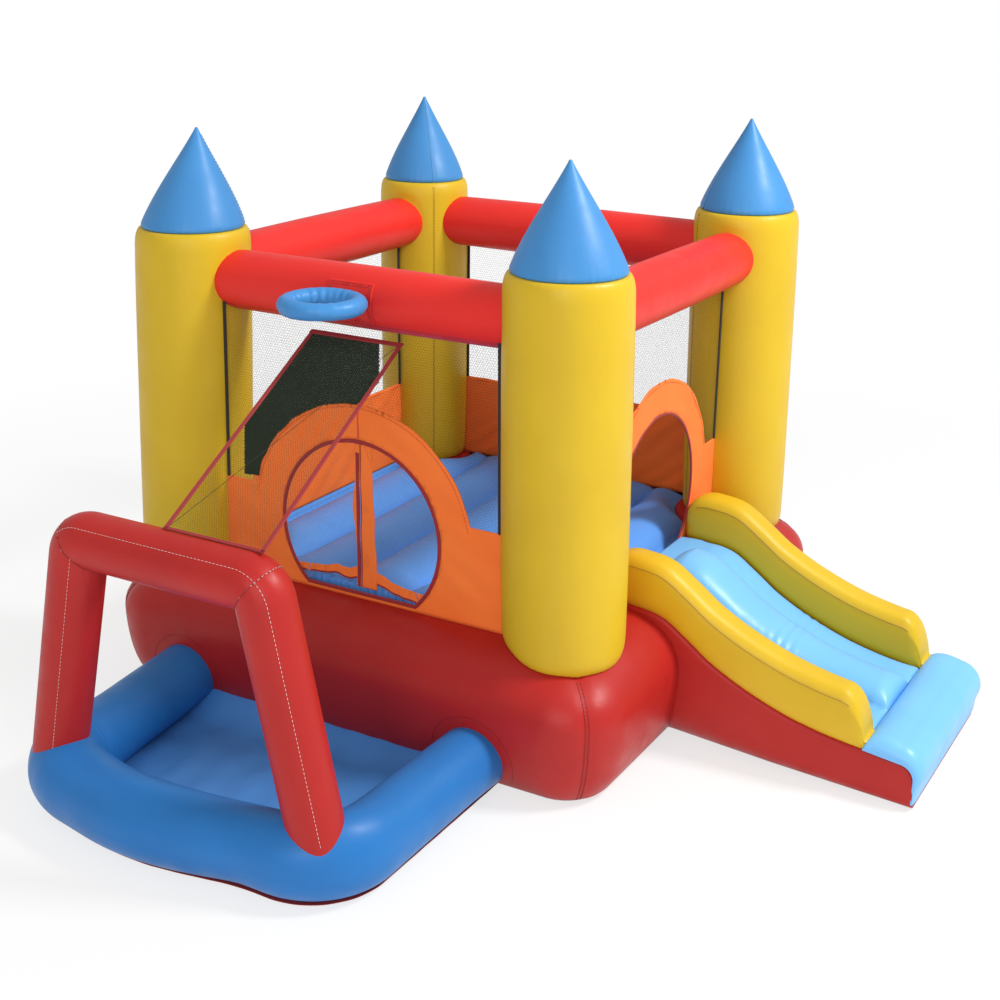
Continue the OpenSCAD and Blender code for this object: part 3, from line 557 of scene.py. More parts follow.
height -= EDGE_FOLD * np.exp(-edge_gap / 0.03) * gathers(gx + gy, 0.034, 5)
height = np.where(in_well, height, np.maximum(height, LIP_Z + 0.004))
height = np.where(notch <= 0.0005, np.where(in_well, WELL_Z + 0.0005, LIP_Z + 0.0005), height)
mesh = skin("floor_cloth", xyz(gx, gy, height), wrap=False)
with reshaped(mesh) as work:
    for low, side in ((LIP_Z, 9), (LIP_Z, 1), (WELL_Z, 1)):
        rim = [e for e in work.edges if e.is_boundary]
        lower = bmesh.ops.extrude_edge_only(work, edges=rim)["geom"]
        for vert in (v for v in lower if isinstance(v, bmesh.types.BMVert)):
            vert.co.x, vert.co.z = max(vert.co.x, -WELL_X * side), low
    bmesh.ops.holes_fill(work, edges=[e for e in work.edges if e.is_boundary])
    bmesh.ops.recalc_face_normals(work, faces=work.faces)
mattress = piece("floor_cloth", mesh, floor_cloth, stands_for=["floor_mattress"])
print("floor:", len(mesh.polygons), "faces, from", round(FLOOR_LEFT, 4), "to", round(WELL_X, 4))

# %% [markdown]
# ## Towers, cones and beams
# Towers are plain cylinders of cloth: they pinch in where they are sewn to the base, have a rounded shoulder under
# the cone and a slight dimple round each beam. Air never holds them quite upright, so each leans a little in its own
# way. A cone is nearly straight, a little full near its rim. Beams end just inside the towers' skin, in saddles.

# %% Sizes of towers and beams
cone_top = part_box("cone_front_right")[1].z
beam_low, beam_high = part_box("beam_front")
BEAM_R, BEAM_Z = (beam_high.z - beam_low.z) / 2, (beam_high.z + beam_low.z) / 2
CORNERS = {"front_left": (-1, -1), "front_right": (1, -1), "back_left": (-1, 1), "back_right": (1, 1)}
LEANS = {
    "front_left": dict(slim=0.005, foot=(-0.042, -0.024), top=(-0.003, -0.002), tip=(0.024, 0.014)),
    "front_right": dict(slim=0.0, foot=(0.018, 0.0), top=(0.0, 0.0), tip=(-0.006, 0.0)),
    "back_left": dict(slim=0.020, foot=(0.006, 0.0), top=(0.008, 0.0), tip=(0.010, 0.0)),
    "back_right": dict(slim=0.005, foot=(0.014, 0.008), top=(-0.004, 0.0), tip=(-0.008, 0.0)),
}
BULGE, FOOT_FOLD, TOP_FOLD, DIMPLE = 0.004, 0.0022, 0.0016, 0.005
angle = circle_of(168)
print("towers end at", round(TOWER_TOP, 3), "m, beams run at", round(BEAM_Z, 3), "m")


# %% Towers
def tower_axis(corner, z):
    """Where a tower's axis stands at a height."""
    foot, top = (np.array(LEANS[corner][end]) for end in ("foot", "top"))
    share = np.clip((np.asarray(z, float) - BASE_TOP) / (TOWER_TOP - BASE_TOP), 0, 1)[..., None]
    return TOWER_HALF * np.array(CORNERS[corner]) + foot * (1 - share) + top * share


def tower_radius(way, z, foot, corner, seed):
    sx, sy = CORNERS[corner]
    share = (z - foot) / (TOWER_TOP - foot)
    radius = TOWER_R - LEANS[corner]["slim"] + BULGE * (1 - (2 * share - 1) ** 4)
    radius = radius - round_in(z - foot, 0.05, 0.016) - round_in(TOWER_TOP - z, 0.06, 0.018)
    folds = gathers(way * TOWER_R, 0.026, seed)
    radius = radius - FOOT_FOLD * folds * np.exp(-(z - foot) / 0.022)
    radius = radius - TOP_FOLD * folds * np.exp(-(TOWER_TOP - z) / 0.02)
    for to_beam in (math.atan2(0, -sx), math.atan2(-sy, 0)):
        off = (way - to_beam + np.pi) % (2 * np.pi) - np.pi
        gap = np.abs(np.hypot(TOWER_R * off, z - BEAM_Z) - BEAM_R)
        radius = radius - DIMPLE * np.exp(-gap / 0.018)
    return radius


def tower_rows(corner, seed):
    middle = tower_axis(corner, BASE_TOP)
    edge = middle + (TOWER_R - 0.016) * np.stack([np.cos(angle), np.sin(angle)], -1)
    foot = base_height(edge[:, 0], edge[:, 1]) + SEAM
    share = np.concatenate([
        0.05 * (1 - np.cos(np.linspace(0, np.pi / 2, 9)[:-1])), np.linspace(0.05, 0.95, 64)[:-1],
        1 - 0.05 * (1 - np.cos(np.linspace(np.pi / 2, 0, 9)))])
    z = foot + share[:, None] * (TOWER_TOP - foot)
    way = np.broadcast_to(angle, z.shape)
    radius = tower_radius(way, z, foot, corner, seed)
    axis = tower_axis(corner, z)
    rows = xyz(axis[..., 0] + radius * np.cos(way), axis[..., 1] + radius * np.sin(way), z)
    return closed(rows, first=(*middle, BASE_TOP + 0.003), last=(*tower_axis(corner, TOWER_TOP), TOWER_TOP))


for seed, corner in enumerate(CORNERS):
    rows = tower_rows(corner, seed)
    mesh = chamber(f"tower_{corner}_cloth", rows, yellow_cloth, [f"tower_{corner}"])
print("four towers of", len(mesh.polygons), "faces")

# %% Cones
CONE_RIM, CONE_TIP, CONE_FULL, CONE_SHOULDER = TOWER_R - 0.016, 0.007, 0.016, 0.06


def cone_radius(corner, share):
    """Radius of a cone at a share of its height: nearly straight, fuller low down, round at the tip."""
    rim = CONE_RIM - LEANS[corner]["slim"]
    radius = CONE_TIP + (rim - CONE_TIP) * (1 - share) + CONE_FULL * (share * (1 - share)) * (1 - share) * 4
    return radius - round_in(share, CONE_SHOULDER, 0.012)


def cone_axis(corner, share):
    """Where a cone's axis stands at a share of its height."""
    lean = np.array(LEANS[corner]["tip"]) - np.array(LEANS[corner]["top"])
    return tower_axis(corner, TOWER_TOP) + np.asarray(share, float)[..., None] * lean


share = np.concatenate([
    CONE_SHOULDER * (1 - np.cos(np.linspace(0, np.pi / 2, 7)[:-1])), np.linspace(CONE_SHOULDER, 1, 54)])
for seed, corner in enumerate(CORNERS):
    z = TOWER_TOP + SEAM + share * (cone_top - CONE_TIP - TOWER_TOP)
    folds = gathers(angle * TOWER_R, 0.03, 20 + seed) * np.exp(-share * 14)[:, None]
    radius = cone_radius(corner, share)[:, None] - 0.002 * folds
    axis, tip = cone_axis(corner, share)[:, None], cone_axis(corner, 1.0)
    rows = xyz(axis[..., 0] + radius * np.cos(angle), axis[..., 1] + radius * np.sin(angle), z[:, None])
    for t in np.linspace(0, np.pi / 2, 5)[1:-1]:
        ring = rows[len(share) - 1].copy()
        ring[:, :2] = tip + (ring[:, :2] - tip) * math.cos(t)
        ring[:, 2] += CONE_TIP * math.sin(t)
        rows = np.concatenate([rows, ring[None]], 0)
    rows = closed(rows, last=(*tip, cone_top))
    chamber(f"cone_{corner}_cloth", rows, cone_cloth, [f"cone_{corner}"])
print("four cones, rim radius", round(CONE_RIM, 4))


# %% Beams
def turned(points, quarter):
    """Turns points about the upright axis by quarter turns, from the front wall to the others."""
    c, s = ((1, 0), (0, 1), (-1, 0), (0, -1))[quarter]
    x, y, z = points[..., 0], points[..., 1], points[..., 2]
    return xyz(c * x - s * y, s * x + c * y, z)


WALLS = ("front", "right", "back", "left")
BEAM_IN = 0.03
section = circle_of(112)
along = np.sin(np.linspace(-np.pi / 2, np.pi / 2, 61))
for quarter, wall in enumerate(WALLS):
    end = TOWER_HALF - np.sqrt((TOWER_R - BEAM_IN) ** 2 - (BEAM_R * np.cos(section)) ** 2)
    x = along[:, None] * end
    gap = end - np.abs(x)
    radius = BEAM_R + 0.003 * np.cos(np.pi * along / 2)[:, None] - round_in(gap, 0.045, 0.006)
    radius = radius - 0.0022 * np.exp(-gap / 0.02) * gathers(section * BEAM_R, 0.028, 40 + quarter)
    rows = xyz(x, -TOWER_HALF + radius * np.cos(section), BEAM_Z + radius * np.sin(section))
    inside = TOWER_HALF - TOWER_R + BEAM_IN
    rows = closed(rows, first=(-inside, -TOWER_HALF, BEAM_Z), last=(inside, -TOWER_HALF, BEAM_Z))
    chamber(f"beam_{wall}_cloth", turned(rows, quarter), beam_cloth, [f"beam_{wall}"])
print("four beams of radius", round(BEAM_R, 4))

# %% [markdown]
# ## Wall panels
# Each wall is a woven sheet sewn between two towers. The front and right ones rise to an arch round a round
# doorway. The outline is filled with triangles of even size, so that the sheet can carry drag wrinkles, and a
# Solidify modifier gives it its thickness.

# %% Outlines and sheets
DOOR_Z, DOOR_R, ARCH_R, SILL_Z = 0.772, 0.346, 0.477, 0.522


def arc(centre, radius, start, end, steps=48):
    turn = np.radians(np.linspace(start, end, steps))
    return np.stack([centre[0] + radius * np.cos(turn), centre[1] + radius * np.sin(turn)], -1)


def filled(loops, keep, spacing):
    """Points and triangles of an outline: loops are its edges, keep says what lies on the cloth."""
    points, edges = [], []
    for loop in loops:
        first = len(points)
        gaps = np.linalg.norm(np.roll(loop, -1, 0) - loop, axis=1)
        for p, q, gap in zip(loop, np.roll(loop, -1, 0), gaps):
            steps = max(1, int(round(gap / spacing)))
            points += [tuple(p + (q - p) * i / steps) for i in range(steps)]
        edges += [(first + i, first + (i + 1) % (len(points) - first)) for i in range(len(points) - first)]
    low, high = np.min(points, 0), np.max(points, 0)
    grid = np.stack(np.meshgrid(
        np.arange(low[0], high[0], spacing), np.arange(low[1], high[1], spacing * 0.87)), -1)
    grid[1::2, :, 0] += spacing / 2
    grid = grid.reshape(-1, 2)
    rim = np.array(points)
    clear = np.array([np.min(np.hypot(*(rim - g).T)) > spacing * 0.6 for g in grid])
    points += [tuple(g) for g in grid[keep(grid[:, 0], grid[:, 1]) & clear]]
    found = delaunay_2d_cdt([Vector(p) for p in points], edges, [], 0, 1e-6)
    spots = np.array([tuple(v) for v in found[0]])
    middles = np.array([spots[list(face)].mean(0) for face in found[2]])
    good = keep(middles[:, 0], middles[:, 1])
    return spots, [tuple(face) for face, ok in zip(found[2], good) if ok]


def cloth_sheet(name, spots, faces, place):
    """Sheet from flat points and triangles: place turns the points into those of the hung cloth."""
    mesh = bpy.data.meshes.new(name)
    mesh.from_pydata(place(spots).tolist(), [], faces)
    corners = np.array(faces).reshape(-1)
    mesh.uv_layers.new(name="cloth").data.foreach_set("uv", spots[corners].astype(np.float32).reshape(-1))
    return sewn(mesh)


def thicken(obj, thickness):
    solid = obj.modifiers.new("thickness", "SOLIDIFY")
    solid.thickness, solid.offset = thickness, 0


print("outline helpers are ready")

# %% Places on the walls
PANEL_T, PANEL_LAP, PANEL_GRID = 0.004, 0.012, 0.016
DRAG_ARCHED, DRAG_PLAIN = 0.0016, 0.0032


def wall_end(quarter, sign, out, z):
    """How far from its middle a wall meets the tower at one end, at a height."""
    spot = turned(np.array([sign, -1.0, 0.0]), quarter)
    corner = next(name for name, signs in CORNERS.items() if np.allclose(signs, spot[:2]))
    axis = tower_axis(corner, z)
    flat = turned(np.concatenate([axis, 0 * axis[..., :1]], -1), -quarter % 4)
    radius = TOWER_R - LEANS[corner]["slim"] + BULGE
    return np.abs(flat[..., 0]) - np.sqrt(radius ** 2 - (flat[..., 1] + out) ** 2)


def wall_place(quarter, out, drag, seed):
    def place(spots):
        u, z = spots[:, 0], spots[:, 1]
        wrinkle = drag * ripple(np.stack([u * 0.35 + z * 0.5, u * 0.1 - z * 0.1], -1), 0.05, seed)
        edge = np.abs(u).max() - np.abs(u)
        wrinkle = wrinkle * np.clip(edge / 0.05, 0, 1) * np.clip((z - z.min()) / 0.04, 0, 1)
        return turned(xyz(u, -out + wrinkle, z), quarter)
    return place


print("panels lap", PANEL_LAP, "m over the towers' skin")

# %% Wall panels
panels = {}
for quarter, wall in enumerate(WALLS):
    low, high = (np.array(v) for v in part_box(f"panel_{wall}"))
    axis = 1 if quarter % 2 == 0 else 0
    out = abs(low[axis] + high[axis]) / 2
    z0, z1 = low[2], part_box("panel_back")[1].z
    half = PANEL_LAP + float(max(wall_end(quarter, sign, out, z0) for sign in (-1, 1)))
    arched = wall in ("front", "right")
    drag = DRAG_ARCHED if arched else DRAG_PLAIN
    loops = [np.array([(-half, z0), (half, z0), (half, z1), (-half, z1)])]
    if arched:
        foot = math.degrees(math.asin((z1 - DOOR_Z) / ARCH_R))
        sill = math.degrees(math.asin((SILL_Z - DOOR_Z) / DOOR_R))
        bow = arc((0, DOOR_Z), ARCH_R, foot, 180 - foot)
        loops = [np.concatenate([loops[0][:3], bow, loops[0][3:]]), arc((0, DOOR_Z), DOOR_R, sill, 180 - sill, 72)]

    def keep(u, z, arched=arched, half=half, z0=z0, z1=z1):
        on_wall = (np.abs(u) < half) & (z > z0) & (z < z1)
        from_door = np.hypot(u, z - DOOR_Z)
        on_arch = arched & (from_door < ARCH_R) & (z >= z1 - 1e-6)
        return (on_wall | on_arch) & ~(arched & (from_door < DOOR_R) & (z > SILL_Z))

    spots, faces = filled(loops, keep, PANEL_GRID)
    mesh = cloth_sheet(f"panel_{wall}_cloth", spots, faces, wall_place(quarter, out, drag, 60 + quarter))
    panel = piece(mesh.name, mesh, orange_cloth, stands_for=[f"panel_{wall}"])
    thicken(panel, PANEL_T)
    triangles = spots[np.array(faces)]
    (a, b), (c, d) = ((triangles[:, i] - triangles[:, 0]).T for i in (1, 2))
    area = float(0.5 * np.abs(a * d - b * c).sum())
    panels[wall] = dict(obj=panel, half=half, out=out, z0=z0, z1=z1, cut=area,
                        size=(2 * half, float(spots[:, 1].max() - z0)))
    print("panel", wall, [round(v, 3) for v in panels[wall]["size"]], "cloth", round(area, 3), "m2")

# %% [markdown]
# ## Growing pieces with Geometry Nodes
# Nets, stitches and welts repeat one small thing along a surface or a path, which is what Geometry Nodes are for.
# Each tree has named inputs. A carrier object runs the tree once, and its result is kept as a plain mesh.


# %% Tree helper
def new_tree(name, sizes):
    """Starts a tree with the given inputs: name to socket kind."""
    tree = bpy.data.node_groups.new(name, "GeometryNodeTree")
    tree.interface.new_socket("Geometry", in_out="INPUT", socket_type="NodeSocketGeometry")
    for label, kind in sizes.items():
        tree.interface.new_socket(label, in_out="INPUT", socket_type="NodeSocket" + kind)
    tree.interface.new_socket("Geometry", in_out="OUTPUT", socket_type="NodeSocketGeometry")
    return tree, add(tree, "NodeGroupInput").outputs


def end_tree(tree, shape, material):
    real = add(tree, "GeometryNodeRealizeInstances", {0: shape})
    dyed = add(tree, "GeometryNodeSetMaterial", {"Geometry": real.outputs[0], "Material": material})
    add(tree, "NodeGroupOutput", {0: dyed.outputs[0]})
    return tree


def grown(tree, start, **sizes):
    carrier = bpy.data.objects.new("carrier", start)
    scene.collection.objects.link(carrier)
    modifier = carrier.modifiers.new("grow", "NODES")
    modifier.node_group = tree
    for item in tree.interface.items_tree:
        label = item.name.replace(" ", "_").lower()
        if item.in_out == "INPUT" and label in sizes:
            modifier[item.identifier] = sizes[label]
    shaped = carrier.evaluated_get(bpy.context.evaluated_depsgraph_get())
    mesh = bpy.data.meshes.new_from_object(shaped)
    bpy.data.objects.remove(carrier)
    return mesh


print("tree helpers are ready")

# %% [markdown]
# ## Net
# The knitted net has six-sided holes. A grid is sheared until its points stand in triangles, and the dual of a
# triangle grid is a honeycomb. Points outside the outline or inside the arch are deleted, and each edge that is
# left becomes a strand. The real mesh has holes of about 3 mm; here they are 11 mm, so that single strands show.

# %% Net tree
net_tree, given = new_tree("knitted_net", {
    "Width": "Float", "Height": "Float", "Pitch": "Float", "Columns": "Int", "Rows": "Int", "Strand": "Float",
    "Arch radius": "Float", "Arch height": "Float", "Yarn": "Material"})
spans = [add(net_tree, "ShaderNodeMath", {0: given[label], 1: -1.0}, operation="ADD").outputs[0]
         for label in ("Columns", "Rows")]
wide = add(net_tree, "ShaderNodeMath", {0: spans[0], 1: given["Pitch"]}, operation="MULTIPLY")
rise = add(net_tree, "ShaderNodeMath", {0: given["Pitch"], 1: math.sin(math.pi / 3)}, operation="MULTIPLY")
high = add(net_tree, "ShaderNodeMath", {0: spans[1], 1: rise.outputs[0]}, operation="MULTIPLY")
grid = add(net_tree, "GeometryNodeMeshGrid", {
    "Size X": wide.outputs[0], "Size Y": high.outputs[0],
    "Vertices X": given["Columns"], "Vertices Y": given["Rows"]})
spot = add(net_tree, "ShaderNodeSeparateXYZ", {0: add(net_tree, "GeometryNodeInputPosition").outputs[0]})
lean = add(net_tree, "ShaderNodeMath", {0: spot.outputs["Y"], 1: math.tan(math.pi / 6)}, operation="MULTIPLY")
shift = add(net_tree, "ShaderNodeCombineXYZ", {"X": lean.outputs[0]})
sheared = add(net_tree, "GeometryNodeSetPosition", {"Geometry": grid.outputs["Mesh"], "Offset": shift.outputs[0]})
split = add(net_tree, "GeometryNodeTriangulate", {0: sheared.outputs[0]}, quad_method="SHORTEST_DIAGONAL")
comb = add(net_tree, "GeometryNodeDualMesh", {0: split.outputs[0]})
spot = add(net_tree, "ShaderNodeSeparateXYZ", {0: add(net_tree, "GeometryNodeInputPosition").outputs[0]})
outside = []
for axis, label in (("X", "Width"), ("Y", "Height")):
    size = add(net_tree, "ShaderNodeMath", {0: spot.outputs[axis]}, operation="ABSOLUTE")
    half_size = add(net_tree, "ShaderNodeMath", {0: given[label], 1: 0.5}, operation="MULTIPLY")
    outside.append(add(net_tree, "ShaderNodeMath", {0: size.outputs[0], 1: half_size.outputs[0]},
                       operation="GREATER_THAN").outputs[0])
over = add(net_tree, "ShaderNodeMath", {0: spot.outputs["Y"], 1: given["Arch height"]}, operation="SUBTRACT")
from_arch = add(net_tree, "ShaderNodeCombineXYZ", {"X": spot.outputs["X"], "Y": over.outputs[0]})
from_arch = add(net_tree, "ShaderNodeVectorMath", {0: from_arch.outputs[0]}, operation="LENGTH")
outside.append(add(net_tree, "ShaderNodeMath", {0: from_arch.outputs["Value"], 1: given["Arch radius"]},
                   operation="LESS_THAN").outputs[0])
cut = add(net_tree, "ShaderNodeMath", {0: outside[0], 1: outside[1]}, operation="MAXIMUM")
cut = add(net_tree, "ShaderNodeMath", {0: cut.outputs[0], 1: outside[2]}, operation="MAXIMUM")
kept = add(net_tree, "GeometryNodeDeleteGeometry", {"Geometry": comb.outputs[0], "Selection": cut.outputs[0]})
strands = add(net_tree, "GeometryNodeMeshToCurve", {"Mesh": kept.outputs[0]})
ring = add(net_tree, "GeometryNodeCurvePrimitiveCircle", {"Resolution": 3, "Radius": 1.0})
yarn = add(net_tree, "GeometryNodeCurveToMesh", {
    "Curve": strands.outputs[0], "Profile Curve": ring.outputs["Curve"], "Scale": given["Strand"]})
end_tree(net_tree, yarn.outputs[0], given["Yarn"])
print("net tree:", len(net_tree.nodes), "nodes")


# %% Net helpers
def net_mesh(name, width, height, material, pitch=0.011, thin=0.0004, arch=(0, 0)):
    columns = int((width + height * math.tan(math.pi / 6)) / pitch) + 4
    lines = int(height / (pitch * math.sin(math.pi / 3))) + 4
    mesh = grown(
        net_tree, bpy.data.meshes.new(name), width=width, height=height, pitch=pitch, columns=columns, rows=lines,
        strand=thin, arch_radius=arch[0], arch_height=arch[1], yarn=material)
    mesh.name = name
    return mesh


def moved(mesh, place):
    """Puts a flat mesh in its place: place turns its points, an array, into new ones."""
    spots = np.empty(len(mesh.vertices) * 3, np.float32)
    mesh.vertices.foreach_get("co", spots)
    mesh.vertices.foreach_set("co", place(spots.reshape(-1, 3).astype(float)).astype(np.float32).reshape(-1))
    mesh.update()
    return mesh


def clipped(mesh, keep):
    """Keeps the strands whose middle satisfies keep(u, z); the mesh lies flat."""
    with reshaped(mesh) as work:
        middles = np.array([f.calc_center_median()[:2] for f in work.faces])
        gone = [f for f, ok in zip(work.faces[:], keep(middles[:, 0], middles[:, 1])) if not ok]
        bmesh.ops.delete(work, geom=gone, context="FACES")
    return mesh


def within(outline):
    """Test for points inside an outline: a ray to the right crosses its edge an odd number of times."""
    a, b = np.asarray(outline), np.roll(outline, -1, 0)

    def keep(u, z):
        crosses = (a[:, 1] > z[:, None]) != (b[:, 1] > z[:, None])
        at = a[:, 0] + (z[:, None] - a[:, 1]) / (b[:, 1] - a[:, 1] + 1e-12) * (b[:, 0] - a[:, 0])
        return (crosses & (u[:, None] < at)).sum(1) % 2 == 1
    return keep


print("net helpers are ready")

# %% Wall nets
NET_LAP, BILLOW = 0.008, 0.006
for quarter, wall in enumerate(WALLS):
    spec = panels[wall]
    net_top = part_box(f"net_{wall}")[1].z + NET_LAP
    low = spec["z1"] - NET_LAP
    width, height, middle = 2 * spec["half"] - NET_LAP, net_top - low, (net_top + low) / 2
    arch = (ARCH_R - NET_LAP, DOOR_Z - middle) if wall in ("front", "right") else (0, 0)
    mesh = net_mesh(f"net_{wall}_mesh", width, height, net_yarn, arch=arch)

    def hang(spots, quarter=quarter, out=spec["out"], middle=middle, width=width, height=height):
        billow = BILLOW * np.cos(np.pi * spots[:, 0] / width) * np.cos(np.pi * spots[:, 1] / height)
        return turned(xyz(spots[:, 0], -out + billow, middle + spots[:, 1]), quarter)

    net = piece(f"net_{wall}_mesh", moved(mesh, hang), net_yarn, stands_for=[f"net_{wall}"])
    panels[wall]["net"] = net
    print("net", wall, len(mesh.polygons), "faces")

# %% [markdown]
# ## Painted shade net
# Left of the arch's crown a close dark green knit lies on the front net. It is painted shade: a dark sheet that
# stands for the shaded dark green seen through the nets there, not a part of the castle. It is the same honeycomb
# with thick strands, so hardly any light comes through, cut to its outline.

# %% Painted shade net
# Painted shade: the dark green knit stands for shade seen through the nets, not for a panel of the castle.
SHADE_LOW, SHADE_HIGH = np.array([-0.53, 0.89]), np.array([0.10, 1.50])
shade_mid, shade_size = (SHADE_LOW + SHADE_HIGH) / 2, SHADE_HIGH - SHADE_LOW
outline = np.concatenate([
    [(-0.173, 1.499), (0.094, 1.493), (0.092, 1.346), (-0.008, 1.246)],
    arc((0, DOOR_Z), ARCH_R - 0.003, 92, 164, 24), [(-0.524, 0.900), (-0.513, 1.099)]])
mesh = net_mesh("shade_net_mesh", *shade_size, ramp_and_painted_shade_yarn, pitch=0.0078, thin=0.0034)
mesh = clipped(mesh, within(outline - shade_mid))
shade_out = panels["front"]["out"] + 0.0005


def hang_shade(spots):
    return xyz(spots[:, 0] + shade_mid[0], -shade_out + spots[:, 2], spots[:, 1] + shade_mid[1])


shade = piece("shade_net_mesh", moved(mesh, hang_shade), ramp_and_painted_shade_yarn)
print("shade net", len(mesh.polygons), "faces")

# %% [markdown]
# ## Tapes
# A tape is a flat strip with rounded edges that follows a path. The direction of its width is given along the
# path, because the twist of an automatic sweep would show on a flat strip.


# %% Tape helper
def tape(name, path, side, width, thick, ring=False):
    path, side = np.asarray(path, float), np.asarray(side, float)
    side = np.broadcast_to(side, path.shape)
    step = np.roll(path, -1, 0) - np.roll(path, 1, 0)
    if not ring:
        step[0], step[-1] = path[1] - path[0], path[-1] - path[-2]
    face = np.cross(step, side)
    face /= np.linalg.norm(face, axis=1)[:, None]
    side = np.cross(face, step)
    side /= np.linalg.norm(side, axis=1)[:, None]
    w, t, c = width / 2, thick / 2, min(thick, width) * 0.3
    outline = [(-w, -t + c), (-w, t - c), (-w + c, t), (0, t), (w - c, t), (w, t - c), (w, -t + c), (w - c, -t),
               (0, -t), (-w + c, -t)]
    rows = np.stack([path + a * side + b * face for a, b in outline], 1)
    rows = np.concatenate([rows, rows[:1]], 0) if ring else closed(rows)
    return skin(name, rows, sharp=40)


def joined(name, meshes):
    """One mesh from several."""
    work = bmesh.new()
    for mesh in meshes:
        work.from_mesh(mesh)
        bpy.data.meshes.remove(mesh)
    whole = bpy.data.meshes.new(name)
    work.to_mesh(whole)
    work.free()
    return whole


print("tape helper is ready")

# %% Tapes of the walls
strips = []
for quarter, wall in enumerate(WALLS):
    spec = panels[wall]
    z = np.linspace(spec["z1"] - 0.002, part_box(f"net_{wall}")[1].z, 12)
    for sign in (-1, 1):
        u = sign * (wall_end(quarter, sign, spec["out"], z) - 0.006)
        path = turned(xyz(u, -spec["out"], z), quarter)
        strips.append(tape("strip", path, turned(np.array([[1.0, 0, 0]]), quarter), 0.014, 0.006))
piece("net_binding_tape", joined("net_binding_tape", strips), black_tape,
      stands_for=["net_bindings"])


def door_path(radius, lift, out, quarter):
    """Ring round a doorway with its flat sill, with the directions of a tape's width."""
    low = math.degrees(math.asin((SILL_Z + lift - DOOR_Z) / radius))
    bow = arc((0, DOOR_Z), radius, low, 180 - low, 84)
    base_line = np.linspace(bow[-1], bow[0], 18)[1:-1]
    loop = np.concatenate([bow, base_line])
    outward = np.concatenate([
        (bow - (0, DOOR_Z)) / radius, np.broadcast_to((0, -1.0), base_line.shape)])
    path, side = xyz(loop[:, 0], -out, loop[:, 1]), xyz(outward[:, 0], 0, outward[:, 1])
    return turned(path, quarter), turned(side, quarter)


def door_binding(name, wall, inset, forward, width, thick, stands_for=()):
    """Tape round a doorway, a little inside its edge and in front of its panel."""
    path, side = door_path(DOOR_R - inset, inset, panels[wall]["out"] + forward, WALLS.index(wall))
    return piece(name, tape(name, path, side, width, thick, ring=True), red_tape,
                 stands_for=stands_for)


binding = door_binding("entrance_binding_tape", "front", 0.0055, 0.002, 0.014, 0.008, ["entrance_binding"])
slide_binding = door_binding("slide_door_binding_tape", "right", 0.002, 0.0, 0.010, 0.007)
line = xyz(0.0, -panels["front"]["out"], np.linspace(DOOR_Z + DOOR_R, DOOR_Z + ARCH_R - 0.002, 8))
crown_seam = piece("arch_seam_tape", tape("arch_seam_tape", line, (1.0, 0, 0), 0.009, 0.0075), orange_tape)
for wall, extra in (("front", [binding, shade, crown_seam]), ("right", [slide_binding]), ("back", []), ("left", [])):
    spec = panels[wall]
print("bindings of nets and doorways")

# %% [markdown]
# ## Doorway curtain
# Two flaps of sheer net hang in the front doorway and part in the middle. Each folds about a slanted line, and the
# net beyond that line stays on the panel. The net is grown flat and each flap keeps the part on its side of the fold.

# %% Doorway curtain
CURTAIN_Y, CURTAIN_FOOT, SPLIT = -0.8582, 0.555, 0.002
flap_r = DOOR_R - 0.016
CROWN = math.radians(4)
fold_top = np.array([flap_r * math.sin(CROWN), DOOR_Z + flap_r * math.cos(CROWN)])
fold_foot = np.array([math.sqrt(flap_r ** 2 - (DOOR_Z - CURTAIN_FOOT) ** 2), CURTAIN_FOOT])
fold_way = (fold_top - fold_foot) / np.linalg.norm(fold_top - fold_foot)
fold_out = np.array([fold_way[1], -fold_way[0]])
FOLD_GAP, SWAY, BAND_T = 0.004, 0.0005, 0.0022


def from_fold(u, z):
    """Distance beyond the fold line, on the side away from the split."""
    return (np.abs(u) - fold_foot[0]) * fold_out[0] + (z - fold_foot[1]) * fold_out[1]


def hang_curtain(spots, middle):
    sway = SWAY * np.sin(spots[:, 0] * 2 * np.pi / 0.06 + 2) * np.clip((1.07 - middle - spots[:, 1]) / 0.4, 0, 1)
    return xyz(spots[:, 0], CURTAIN_Y + sway, middle + spots[:, 1])


CURTAIN_TOP = DOOR_Z + DOOR_R + 0.009
middle = (CURTAIN_TOP + CURTAIN_FOOT) / 2
for side_name, sign in (("left", -1), ("right", 1)):
    def on_flap(u, z):
        z = z + middle
        return (sign * u > SPLIT) & (from_fold(u, z) < -0.001) & (np.hypot(u, z - DOOR_Z) < flap_r)

    def on_border(u, z):
        z = z + middle
        return (sign * u > 0) & (from_fold(u, z) > 0.002) & (np.hypot(u, z - DOOR_Z) < DOOR_R + 0.009)

    for kind, keep, body in (("flap", on_flap, f"{side_name}_flap"), ("border", on_border, "castle")):
        mesh = net_mesh(f"curtain_{kind}_{side_name}", 0.7, CURTAIN_TOP - CURTAIN_FOOT, sheer_yarn, 0.009, 0.0002)
        mesh = moved(clipped(mesh, keep), lambda spots: hang_curtain(spots, middle))
        node = f"curtain_{side_name}" if kind == "flap" else f"curtain_border_{side_name}"
        piece(f"curtain_{kind}_{side_name}", mesh, sheer_yarn, body, [node])
print("sheer flaps and borders")


def band_rows(upper, lower, y):
    """Grid of a cloth band between two lines of points (u, z)."""
    share = np.linspace(0, 1, 9)[None, :, None]
    flat = upper[:, None] * (1 - share) + lower[:, None] * share
    return xyz(flat[..., 0], np.asarray(y)[:, None], flat[..., 1])


